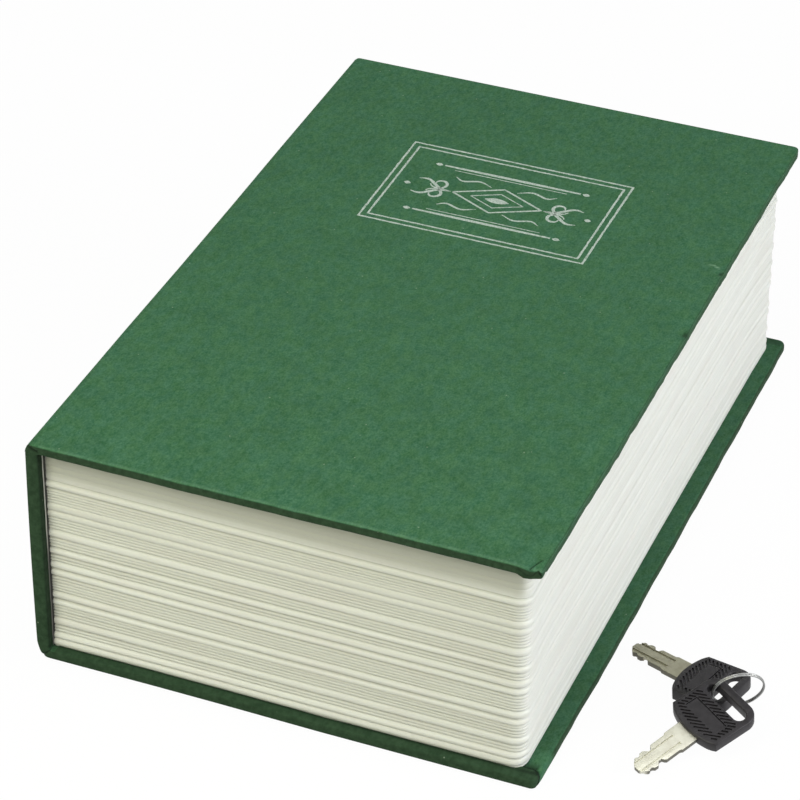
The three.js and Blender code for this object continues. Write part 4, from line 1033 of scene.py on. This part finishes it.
def wall_profile():
    """The block's outer wall from its foot to its top, as (inset, height)."""
    foot, top = BLOCK["z0"], BLOCK["z1"]
    line = [(0.3, foot), (WALL_DEPTH, foot + 0.35)]
    line += [(WALL_DEPTH, level) for level in WALL_LEVELS]
    line += [(WALL_DEPTH, BAND_FOOT - 0.1), (BAND_INSET, BAND_FOOT + 0.35)]
    for level in BAND_LINES:
        line += [(BAND_INSET, level - 0.25), (BAND_INSET + 0.12, level), (BAND_INSET, level + 0.25)]
    return line + [(BAND_INSET, top - 0.35), (BAND_INSET + 0.1, top - 0.1), (BAND_INSET + 0.35, top)]


def stacked_faces(levels, count):
    """Quads between closed loops of points that lie one over the other, and the two ends."""
    faces = []
    for first in range(0, (levels - 1) * count, count):
        for i in range(count):
            after = (i + 1) % count
            faces.append((first + i, first + after, first + count + after, first + count + i))
    last = (levels - 1) * count
    return faces + [tuple(range(count))[::-1], tuple(range(last, last + count))]


def block_painted_shade(piece):
    """Painted shade: less on the fore side than on the tail, more on the plain band under the cover, and some
    on the ribs from 36 to 41 mm.
    """
    x, y, z = points_of(piece.data).T
    marks = piece.data.attributes["painted_shade"].data
    dust_and_shade = np.empty(len(x), np.float32)
    marks.foreach_get("value", dust_and_shade)
    band = step(46.8, 47.6, z) * (1.1 + 0.5 * step(48, 53, z)) + 0.35 * step(36, 37, z) * step(41, 40, z)
    outside = ((np.abs(y) > 85.5) | (x > 53)) & (z < 54.2)
    dust_and_shade = np.where(outside, np.maximum(dust_and_shade, band), dust_and_shade) * (1 - 0.8 * step(52.0, 53.8, x))
    marks.foreach_set("value", dust_and_shade.astype(np.float32))


def page_block():
    profile = wall_profile()
    loops = [block_loop(depth, z) for depth, z in profile]
    x0, x1, y = POCKET["x0"], POCKET["x1"], POCKET["y"]
    loops.append(block_loop(0, BLOCK["z1"], 1.2, 1.2, (x0 - 0.25, x1 + 0.25, y + 0.25)))
    loops += [block_loop(0, z, 1.0, 1.0, (x0, x1, y)) for z in (BLOCK["z1"] - 0.25, POCKET["z"])]
    count = len(loops[0])
    first_path = len(loops) * count
    first_rib = first_path + count
    ribs = [(0, 0, z) for z in BOLD_RIBS + FINE_RIBS]
    points = np.concatenate([*loops, block_loop(RIB_DEPTH, 0), ribs])
    edges = [(first_path + i, first_path + (i + 1) % count) for i in range(count)]
    kind = np.repeat((0, 1, 2, 3), (first_path, count, len(BOLD_RIBS), len(FINE_RIBS)))
    painted_shade = np.zeros(len(points))
    # Painted shade for each loop of the wall, the pocket's rim and the pocket
    levels = [WALL_SHADE if depth == WALL_DEPTH else BAND_SHADE for depth, _ in profile] + [0.1, 0.1, 0.3]
    painted_shade[:first_path] = np.repeat(levels, count)
    marks = {"kind": kind, "painted_shade": painted_shade}
    base = made("page_block_base", points, stacked_faces(len(loops), count), None, marks, edges)
    stretch = np.ones((len(points), 3))
    stretch[first_rib:, 2] = np.random.default_rng(4).uniform(0.86, 1.16, len(ribs))
    set_vectors(base, "stretch", stretch)
    sizes = {name: size * MM for name, size in RIB_SIZES.items()}
    piece = grown("ribbed_page_block", base, rib_tree(), sizes, 40)
    block_painted_shade(piece)
    return dress(reshaped(piece, block_set), "case", "page_plastic", "page_block")


# ---------------------------------------------------------------- foil

def foil_piece(name, node, flat, quads):
    """A shape of foil on the cover, a little above its cloth."""
    shape = cover_warp(np.column_stack([flat, np.full(len(flat), TOP_Z)]))
    shape[:, 2] += FOIL_LIFT
    piece = thickened(made(name, shape, quads, foil), FOIL_THICK)
    return dress(piece, "front_cover", "silver_foil", node)


def foil_frame(name, node, drawn_in, seed):
    """A closed line of the frame, with slightly broken edges."""
    half_x, half_y = FRAME_WIDTH / 2 - drawn_in, FRAME_HEIGHT / 2 - drawn_in
    corners = [(-1, -1), (1, -1), (1, 1), (-1, 1)]
    spread = np.random.default_rng(seed)
    loops = []
    for step_in in (0, FOIL_LINE):
        x, y = half_x - step_in, half_y - step_in
        ring = []
        for (sx, sy), (ex, ey) in zip(corners, corners[1:] + corners[:1]):
            count = 74 if sy == ey else 48
            for share in (k / count for k in range(count)):
                ring.append((FOIL_X + x * (sx + (ex - sx) * share), FOIL_Y + y * (sy + (ey - sy) * share)))
        loops.append(np.array(ring) + spread.normal(0, 0.035, (len(ring), 2)))
    count = len(loops[0])
    quads = [(i, (i + 1) % count, count + (i + 1) % count, count + i) for i in range(count)]
    return foil_piece(name, node, np.concatenate(loops), quads)


def foil_strokes(name, node, strokes, seed):
    """Foil lines that swell and taper, each a list of points with the widths at its ends and
    middle."""
    spread = np.random.default_rng(seed)
    points, quads = [], []
    for line, ends, middle in strokes:
        line = np.asarray(line, float)
        ahead = np.gradient(line, axis=0)
        ahead /= np.linalg.norm(ahead, axis=1)[:, None]
        side = np.column_stack([-ahead[:, 1], ahead[:, 0]])
        share = np.linspace(0, 1, len(line))
        width = ends + (middle - ends) * np.sin(np.pi * share)
        width = np.clip(width + spread.normal(0, 0.03, len(line)), 0.08, None)
        first = len(points)
        for at, across, w in zip(line, side, width):
            points += [at + across * w / 2, at - across * w / 2]
        quads += [(at, at + 1, at + 3, at + 2) for at in range(first, len(points) - 2, 2)]
    return foil_piece(name, node, np.array(points), quads)


def level_line(start, end, y, count):
    """A straight stroke along X."""
    return np.column_stack([np.linspace(start, end, count), np.full(count, y)])


def walk(corners, pitch):
    """Points along straight lines between corners."""
    corners = [np.array(c, float) for c in corners]
    line = []
    for start, end in zip(corners, corners[1:]):
        count = max(2, round(np.linalg.norm(end - start) / pitch))
        line += [start + (end - start) * k / count for k in range(count)]
    return line + [corners[-1]]


def curl(centre, start, turns, radius, grow, side):
    """A spiral stroke about a centre."""
    share = np.linspace(0, 1, 40)
    angle = math.radians(start) + side * share * turns * 2 * math.pi
    reach = radius * (1 + grow * share)
    return np.column_stack([centre[0] + reach * np.cos(angle), centre[1] + reach * np.sin(angle)])


def smooth_line(points):
    """A smooth line through points, by Catmull and Rom's rule."""
    points = np.asarray(points, float)
    padded = np.vstack([2 * points[0] - points[1], points, 2 * points[-1] - points[-2]])
    line = []
    for at in np.linspace(0, len(points) - 1, 26):
        i = min(int(at), len(points) - 2)
        t = at - i
        p0, p1, p2, p3 = padded[i:i + 4]
        line.append(0.5 * (2 * p1 + (p2 - p0) * t + (2 * p0 - 5 * p1 + 4 * p2 - p3) * t ** 2
                           + (3 * p1 - p0 - 3 * p2 + p3) * t ** 3))
    return np.array(line)


def foil_rule(name, node, side, seed):
    """A plain rule with a finer one beside it and a small diamond at each end."""
    y = FOIL_Y + side * RULE_SPREAD / 2
    half = RULE_LENGTH / 2
    strokes = [(level_line(FOIL_X - half, FOIL_X + half, y, 60), 0.55, 0.9),
               (level_line(FOIL_X - half + 3, FOIL_X + half - 3, y - side * 1.25, 50), 0.2, 0.3)]
    for end in (-1, 1):
        x = FOIL_X + end * (half + 1.4)
        strokes.append((level_line(x - 0.9, x + 0.9, y, 9), 0.12, 1.2))
    return foil_strokes(name, node, strokes, seed)


def foil_ornament():
    """A lozenge with a smaller one inside it and scrolls at its two ends."""
    strokes = []
    for length, height, width in ((22, 11, 0.5), (13, 6.4, 0.3)):
        x, y = length / 2, height / 2
        line = np.array(walk([(-x, 0), (0, -y), (x, 0), (0, y), (-x, 0)], 0.6)) + (FOIL_X, FOIL_Y)
        strokes.append((line, width, width))
    strokes.append((level_line(FOIL_X - 3, FOIL_X + 3, FOIL_Y, 15), 0.1, 2.2))
    for end in (-1, 1):
        for side in (-1, 1):
            centre = (FOIL_X + end * 15.0, FOIL_Y + side * 2.3)
            strokes.append((curl(centre, 90 - 90 * end, 0.95, 1.0, 1.3, side * end), 0.25, 0.75))
            for leaf, width in LEAVES:
                line = smooth_line([(FOIL_X + end * u, FOIL_Y + side * v) for u, v in leaf])
                strokes.append((line, 0.15, width))
        dot = FOIL_X + end * 22.4
        strokes.append((level_line(dot - 0.8, dot + 0.8, FOIL_Y, 9), 0.12, 1.3))
    return foil_strokes("foil_lozenge", "foil_ornament", strokes, 35)


# ---------------------------------------------------------------- box, hinge and lid

def copies_tree(name, material, build):
    """A tree that puts what build makes on the base's loose points, and keeps the base's faces."""
    t, given = new_group(name, "Radius", "Length")
    spots, rest = spots_apart(t, given)
    copies = t.copied(spots, build(t, given["Radius"], given["Length"]))
    return end_group(t, t.joined(copies, rest), material)


def along_y(t, profile, length):
    """A profile run along Y, about the middle of its length."""
    half = t.math("MULTIPLY", length, 0.5)
    ends = [t.shade("CombineXYZ", Y=t.math("MULTIPLY", half, sign)) for sign in (-1.0, 1.0)]
    return t.swept(t.geo("CurvePrimitiveLine", Start=ends[0], End=ends[1]), profile)


def knuckle_form(t, radius, length):
    """A rolled knuckle: a barrel with slightly smaller ends."""
    tube = along_y(t, t.circle(28, radius), t.math("SUBTRACT", length, 0.5 * MM))
    core = along_y(t, t.circle(28, t.math("MULTIPLY", radius, 0.88)), length)
    return t.joined(tube, core)


def hinge_leaf(name, node, body, first, plate):
    """A leaf with its knuckles: a pressed plate with rounded rims, and every other knuckle."""
    low, high = plate
    upright = high[0] - low[0] < high[2] - low[2]
    pitches, axes = ((0.2, 4.0, 1.5), (1, 2, 0)) if upright else ((1.5, 4.0, 0.2), (0, 1, 2))
    lines = [grid_lines(*line) for line in zip(low, high, pitches)]
    shape, quads = rounded_block(lines, ((0.6, 0.6), (0.6, 0.6)), 0.2, axes)
    pitch = 2 * HINGE_HALF / KNUCKLES
    spots = [(PIN_X, -HINGE_HALF + (i + 0.5) * pitch, PIN_Z) for i in range(first, KNUCKLES, 2)]
    every = np.concatenate([shape, spots])
    base = made(name + "_base", every, quads, None, {"spot": [0] * len(shape) + [1] * len(spots)})
    sizes = {"Radius": KNUCKLE * MM, "Length": (pitch - KNUCKLE_GAP) * MM}
    piece = grown(name, base, copies_tree(name, powder, knuckle_form), sizes)
    return dress(piece, body, "powder_coat", node)


def rivet_form(t, radius, length):
    """A low dome on a thin flange."""
    ball = t.geo("MeshUVSphere", Segments=28, Rings=14, Radius=radius).outputs["Mesh"]
    dome = t.geo("Transform", Geometry=ball, Scale=(0.92, 0.55, 0.92))
    return t.joined(dome, along_y(t, t.circle(28, radius), length))


def rivets():
    spots = [(x, y, RIVET_Z) for x, y in RIVETS]
    base = made("rivets_base", spots, [], None, {"spot": [1] * len(spots)})
    piece = grown("box_rivets", base, copies_tree("rivets", rivet_metal, rivet_form),
                  {"Radius": 2.4 * MM, "Length": 0.5 * MM})
    return dress(piece, "case", "rivet_metal", "rivet_tail_spine", "rivet_tail_fore", "rivet_head_spine",
                 "rivet_head_fore")


def thread_tree():
    """A thread wound round the barrel and ground off at its two flats."""
    t, given = new_group("barrel_thread", "Radius", "Flat", "Height", "Turns")
    wire = t.coil(40, given["Turns"], given["Radius"], given["Height"], t.circle(6, THREAD * MM))
    apart = t.shade("SeparateXYZ", Vector=t.geo("InputPosition")).outputs
    held = t.math("MAXIMUM", apart["X"], t.math("MULTIPLY", given["Flat"], -1.0))
    place = t.shade("CombineXYZ", X=t.math("MINIMUM", held, given["Flat"]), Y=apart["Y"], Z=apart["Z"])
    ground = t.geo("SetPosition", Geometry=wire, Position=place)
    return end_group(t, t.copied(given["Geometry"], ground), chrome)


def barrel_thread():
    base = made("thread_base", [(LOCK_X, 0, 28.4)], [], None)
    sizes = {"Radius": (BARREL + 0.02) * MM, "Flat": (BARREL_FLAT + 0.08) * MM, "Height": 12.0 * MM,
             "Turns": 12.0}
    return dress(grown("barrel_thread", base, thread_tree(), sizes), "lid", "lock_chrome")


# ---------------------------------------------------------------- keys

def key_point(points, name):
    x, y, turn, tilt, roll = KEY_PLACES[name]
    return turned(points, (x, y, key_height(name)), turn, tilt, roll)


def key_height(name):
    """Height of a key's own origin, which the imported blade's lowest point gives."""
    cad_low = points_of(nodes["key_blade_" + name].data)[:, 2].min()
    tips = [(u, side * v, -CAD_BLADE / 2) for u, v in ((0, 6.5 / 6), (1.8, 3.25)) for side in (-1, 1)]
    return cad_low - turned(tips, (0, 0, 0), *KEY_PLACES[name][2:])[:, 2].min()


def near_edge(v):
    """The curved edge of a key's head that faces its blade."""
    share = np.clip(np.abs(v) / HEAD_HALF, 0, 1)
    return HEAD_START - 1.7 * (1 - share ** 2)


def head_outline():
    line = [(near_edge(v) + 0.35 * step(0.82, 1.0, abs(v) / HEAD_HALF), v)
            for v in np.linspace(HEAD_HALF, -HEAD_HALF, 19)]
    radius = 3.2
    for sign in (-1, 1):
        angles = np.linspace(-90, 0, 9) if sign < 0 else np.linspace(0, 90, 9)
        for angle in np.radians(angles):
            line.append((HEAD_END - radius + radius * math.cos(angle),
                         sign * (HEAD_HALF - radius) + radius * math.sin(angle)))
    return line[::-1]


def slot_outline():
    line = []
    reach = SLOT_HALF - SLOT_WIDTH / 2
    for sign in (-1, 1):
        angles = np.linspace(-180, 0, 13) if sign < 0 else np.linspace(0, 180, 13)
        for angle in np.radians(angles):
            line.append((SLOT_U + SLOT_WIDTH / 2 * math.cos(angle),
                         sign * reach + SLOT_WIDTH / 2 * math.sin(angle)))
    return line


BLADE = ((15.8, 3.15), (10.1, 3.15), (9.9, 2.95), (9.5, 2.78), (5.9, 2.78), (5.5, 2.4), (5.2, 1.8), (4.5, 1.75),
         (4.0, 2.3), (3.6, 2.68), (2.7, 2.66), (2.2, 2.15), (1.8, 2.1), (1.4, 2.38), (1.0, 2.34), (0.2, 1.5),
         (-0.35, 0.7))
# How far each blade is turned in its head, and where its root lies
BLADE_SET = {"front": (3.5, 0.0, 0.0), "rear": (-8.0, -0.6, 0.85)}
BLADE_THICK = 1.25
# Place across, width and reach of the grooves on each face
BLADE_GROOVES = {"front": ((1.15, 0.5, 11.0), (-1.3, 0.6, 10.9)),
                 "rear": ((1.25, 0.62, 10.6), (-1.45, 0.95, 10.4))}


def hatch_marks():
    """Middle, length and place of each groove: slanted lines between the head's rim and its plain
    panel."""
    lean = math.radians(-50)
    along = np.array([math.cos(lean), math.sin(lean)])
    across = np.array([-along[1], along[0]])
    middle = np.array([18.9, 0.0])
    marks = []
    for row in np.arange(-9.36, 9.4, 0.78):
        at = np.linspace(-9, 9, 361)
        spots = middle + across * row + at[:, None] * along
        u, v = spots.T
        inside = (u > near_edge(v) + 1.3) & (u < 22.7) & (np.abs(v) < HEAD_HALF - 0.9)
        inside &= ~((u > 17.45) & (u < 21.0) & (np.abs(v) < 5.15))
        switch = np.flatnonzero(np.diff(np.concatenate([[0], inside.astype(int), [0]])))
        for first, last in switch.reshape(-1, 2):
            length = at[last - 1] - at[first]
            if length > 0.7:
                marks.append((*(middle + across * row + (at[first] + length / 2) * along), length))
    return marks, lean


def groove_tree(name, material):
    """Cuts a straight groove into the base's solid for each loose point of the base."""
    t, given = new_group(name, "Width", "Depth")
    spots, rest = spots_apart(t, given)
    size = t.shade("CombineXYZ", X=1.0 * MM, Y=given["Width"], Z=t.math("MULTIPLY", given["Depth"], 2.0))
    bars = t.copied(spots, t.geo("MeshCube", Size=size).outputs["Mesh"],
                    Rotation=t.attribute("turn", "FLOAT_VECTOR"), Scale=t.attribute("stretch", "FLOAT_VECTOR"))
    carved = t.geo("MeshBoolean", {"operation": "DIFFERENCE", "solver": "EXACT"}, Self_Intersection=True)
    # The grooves' cut faces get full painted shade
    t.put_all(carved, ("Mesh 1", rest), ("Mesh 2", t.with_painted_shade(bars, 1.0)))
    return end_group(t, carved.outputs["Mesh"], material)


def blank(name, outlines, thick, rim):
    """A plate with rounded rims, as points and faces in a key's own frame."""
    curve = bpy.data.curves.new(name, "CURVE")
    curve.dimensions = "2D"
    curve.fill_mode = "BOTH"
    for outline in outlines:
        spline = curve.splines.new("POLY")
        spline.points.add(len(outline) - 1)
        for point, (u, v) in zip(spline.points, outline):
            point.co = (u, v, 0, 1)
        spline.use_cyclic_u = True
    curve.extrude = thick / 2 - rim
    curve.bevel_depth = rim
    curve.bevel_resolution = 2
    curve.offset = -rim
    shape = bpy.data.objects.new(name, curve)
    bpy.context.scene.collection.objects.link(shape)
    graph = bpy.context.evaluated_depsgraph_get()
    mesh = bpy.data.meshes.new_from_object(shape.evaluated_get(graph))
    bpy.data.objects.remove(shape)
    form = bmesh.new()
    form.from_mesh(mesh)
    bmesh.ops.remove_doubles(form, verts=form.verts, dist=0.002)
    bmesh.ops.recalc_face_normals(form, faces=form.faces)
    points = np.array([v.co[:] for v in form.verts])
    faces = [[v.index for v in face.verts] for face in form.faces]
    form.free()
    return points, faces


def grooved(name, key, plate, grooves, tree, material, width, depth, marks=None):
    """A key's plate with its grooves cut, laid where the key lies. Each groove has its middle,
    its angle in degrees, and its length, width and depth as shares of the tree's."""
    points, faces = plate
    spots, angles, stretch = zip(*grooves)
    turn = [(0, 0, math.radians(angle)) for angle in angles]
    count = len(points)
    marks = {mark: np.concatenate([values, np.ones(len(spots))]) for mark, values in (marks or {}).items()}
    marks["spot"] = [0] * count + [1] * len(spots)
    base = made(name + "_base", np.concatenate([points, spots]), faces, material, marks)
    for attribute, values in (("turn", turn), ("stretch", stretch)):
        set_vectors(base, attribute, np.concatenate([np.zeros((count, 3)), values]))
    piece = grown(name, base, tree, {"Width": width * MM, "Depth": depth * MM})
    return reshaped(piece, key_point, key)


def key_head(key, body):
    marks, lean = hatch_marks()
    plate = blank("head_blank", (head_outline(), slot_outline()), HEAD_THICK, 0.4)
    grooves = []
    for side in (-1, 1):
        face = side * HEAD_THICK / 2
        grooves += [((u, v, face), math.degrees(lean), (length, 1, 1)) for u, v, length in marks]
        # The plain panel is sunk along its far side and one end
        grooves += [((20.72, 0, face), 90, (9.7, 0.55, 1.2)), ((19.25, 4.87, face), 0, (2.9, 0.5, 0.9))]
    piece = grooved("key_head_" + key + "_moulded", key, plate, grooves, HATCH, black, 0.44, 0.34)
    return dress(piece, body, "key_plastic", "key_head_" + key)


def key_blade(key, body):
    """A double-sided blade: the same cuts on both edges, two milled grooves on both faces."""
    upper = [(u, 0.93 * v) for u, v in BLADE]
    outline = upper + [(u, -v) for u, v in reversed(upper)]
    points, faces = blank("blade_blank", (outline,), BLADE_THICK, 0.14)
    # Painted shade on the blade's side faces
    marks = {"rim": 1 - step(0.8, 0.99, np.abs(points[:, 2]) / (BLADE_THICK / 2))}
    lean, out, aside = BLADE_SET[key]
    root = (HEAD_START + out, aside, (BLADE_THICK - CAD_BLADE) / 2)
    plate = (turned(points - (HEAD_START, 0, 0), root, lean), faces)
    grooves = []
    for side in (-1, 1):
        for v, width, reach in BLADE_GROOVES[key]:
            middle = turned([(reach / 2 - 1 - HEAD_START, v, side * BLADE_THICK / 2)], root, lean)[0]
            grooves.append((tuple(middle), lean, (reach + 2, width, 1)))
    tree = groove_tree("blade_grooves_" + key, nickel[key])
    piece = grooved("key_blade_" + key + "_milled", key, plate, grooves, tree, nickel[key], 1.0, 0.3, marks)
    return dress(piece, body, "key_nickel", "key_blade_" + key)


def ring_tree():
    """A split ring: two turns of wire side by side."""
    t, given = new_group("split_ring", "Radius", "Wire")
    rise = t.math("MULTIPLY", given["Wire"], 3.6)
    wire = t.coil(64, 1.96, given["Radius"], rise, t.circle(12, given["Wire"]))
    middle = t.shade("CombineXYZ", Z=t.math("MULTIPLY", rise, -0.5))
    centred = t.geo("Transform", Geometry=wire, Translation=middle)
    return end_group(t, t.copied(given["Geometry"], centred), ring_steel)


def split_ring():
    base = made("ring_base", [(0, 0, 0)], [], None)
    piece = grown("split_ring", base, ring_tree(), {"Radius": RING * MM, "Wire": RING_WIRE * MM})
    reshaped(piece, turned, RING_PLACE, RING_TURN, -RING_LEAN)
    return dress(piece, "rear_key", "lock_chrome", "key_ring")


# ---------------------------------------------------------------- the object

def paint(node, material):
    """A better finish for a CAD node whose shape stays."""
    slots = nodes[node].data.materials
    slots.clear()
    slots.append(material)


front_board()
cover_cloth = front_cloth()
front_endpaper()
spine_card()
back_card()
spine_paper()
back_cloth = case_cloth()
bending_cloth = joint_cloth()
page_block()

foil_frame("foil_outer_line", "foil_frame_outer", 0, 31)
foil_frame("foil_inner_line", "foil_frame_inner", FRAME_STEP, 32)
foil_rule("foil_rule_head", "foil_rule_upper", 1, 33)
foil_rule("foil_rule_tail", "foil_rule_lower", -1, 34)
foil_ornament()

softened("steel_box", 0.22, powder, "case", "powder_coat")
softened("steel_lid", 0.22, powder, "lid", "powder_coat")
rivets()
hinge_leaf("hinge_leaf_box_rolled", "hinge_leaf_box", "case", 0,
           ((PIN_X - KNUCKLE, -HINGE_HALF, 37.0), (PIN_X - KNUCKLE + LEAF, HINGE_HALF, 49.6)))
hinge_leaf("hinge_leaf_lid_rolled", "hinge_leaf_lid", "lid", 1,
           ((PIN_X + 1.2, -HINGE_HALF, PIN_Z + 0.05), (PIN_X + 10, HINGE_HALF, PIN_Z + 0.05 + LEAF)))
softened("hinge_pin", 0.15, pin_steel, "case", "pin_steel")
for part, width, body, finish, slot in (
    ("lock_body", 0.18, "lid", chrome, "lock_chrome"),
    ("lock_washer", 0.12, "lid", chrome, "lock_chrome"),
    ("lock_nut", 0.25, "lid", chrome, "lock_chrome"),
    ("lock_plug", 0.12, "latch", chrome, "lock_chrome"),
    ("lock_cam", 0.2, "latch", chrome, "lock_chrome"),
    ("cam_washer", 0.12, "latch", black, "key_plastic"),
    ("cam_screw", 0.1, "latch", chrome, "lock_chrome"),
):
    softened(part, width, finish, body, slot)
barrel_thread()
HATCH = groove_tree("head_hatch", black)
for form in (key_head, key_blade):
    for key in ("front", "rear"):
        form(key, key + "_key")
split_ring()

paint("back_endpaper", paper)


# ---------------------------------------------------------------- floor, light and camera

FLOOR_Z = -0.8
FLOOR_HALF = 4000.0
FLOOR_GREY = (0.6, 0.6, 0.6, 1)
WHITE = (1, 1, 1, 1)
# Place in metres, size, power and colour of each lamp
LAMPS = {"key_light": ((0.93, 0.0, 0.36), 0.5, 6.7, (0.98, 0.99, 1.0)),
         "top_light": ((-0.12, -0.25, 0.95), 0.7, 2.3, (1, 1, 1)),
         "fill_light": ((-0.16, -0.5, 0.42), 0.4, 2.03, (1.0, 0.99, 0.74))}
LAMP_AIM = (0, 0, 0.03)
# The camera fitted to the photo: angles in degrees, and its place right of, above and back from
# a point in the middle of the book
AZIMUTH, ELEVATION, ROLL = 21.749, 34.512, 0.483
AIM = (0, 0, 28)
SHIFT_RIGHT, SHIFT_UP, DISTANCE = -8.475, -1.422, 815.06
FOCAL_LENGTH = 160.26


def floor():
    f = Finish("studio_floor", 0.9)
    f.put(f.shader, "Base Color", FLOOR_GREY)
    glow = f.shade("Emission", Color=WHITE, Strength=1.02)
    f.put(f.output, "Surface", f.seen_as(f.shader, f.blend(0.95, f.shader, glow)))
    corners = [(-1, -1), (1, -1), (1, 1), (-1, 1)]
    points = [(x * FLOOR_HALF, y * FLOOR_HALF, FLOOR_Z) for x, y in corners]
    made("studio_floor", points, [(0, 1, 2, 3)], f.material)


def world():
    sky = bpy.data.worlds.new("studio")
    bpy.context.scene.world = sky
    sky.use_nodes = True
    t = Tree(sky.node_tree)
    t.tree.nodes.clear()
    soft, bright = (t.shade("Background", Color=WHITE, Strength=strength) for strength in (0.22, 1.0))
    t.shade("OutputWorld", Surface=t.seen_as(soft, bright))


def lamp(name, place, size, power, colour):
    light = bpy.data.lights.new(name, "AREA")
    light.shape = "DISK"
    light.size = size
    light.energy = power
    light.color = colour
    stand = bpy.data.objects.new(name, light)
    bpy.context.scene.collection.objects.link(stand)
    stand.location = place
    stand.rotation_euler = (Vector(LAMP_AIM) - Vector(place)).to_track_quat("-Z", "Y").to_euler()


def camera():
    azimuth, elevation, roll = (math.radians(angle) for angle in (AZIMUTH, ELEVATION, ROLL))
    back = Vector((math.sin(azimuth) * math.cos(elevation), -math.cos(azimuth) * math.cos(elevation),
                   math.sin(elevation)))
    level = Vector((math.cos(azimuth), math.sin(azimuth), 0))
    upward = back.cross(level)
    right = math.cos(roll) * level + math.sin(roll) * upward
    up = -math.sin(roll) * level + math.cos(roll) * upward
    place = Vector(AIM) + right * SHIFT_RIGHT + up * SHIFT_UP + back * DISTANCE
    lens = bpy.data.cameras.new("camera")
    lens.lens = FOCAL_LENGTH
    lens.sensor_width = 36
    lens.clip_start = 0.01
    lens.clip_end = 100
    eye = bpy.data.objects.new("camera", lens)
    bpy.context.scene.collection.objects.link(eye)
    eye.matrix_world = Matrix.Translation(place * MM) @ Matrix((right, up, back)).transposed().to_4x4()
    bpy.context.scene.camera = eye


floor()
world()
for lamp_name, settings in LAMPS.items():
    lamp(lamp_name, *settings)
camera()
bpy.context.scene.view_settings.view_transform = "Standard"
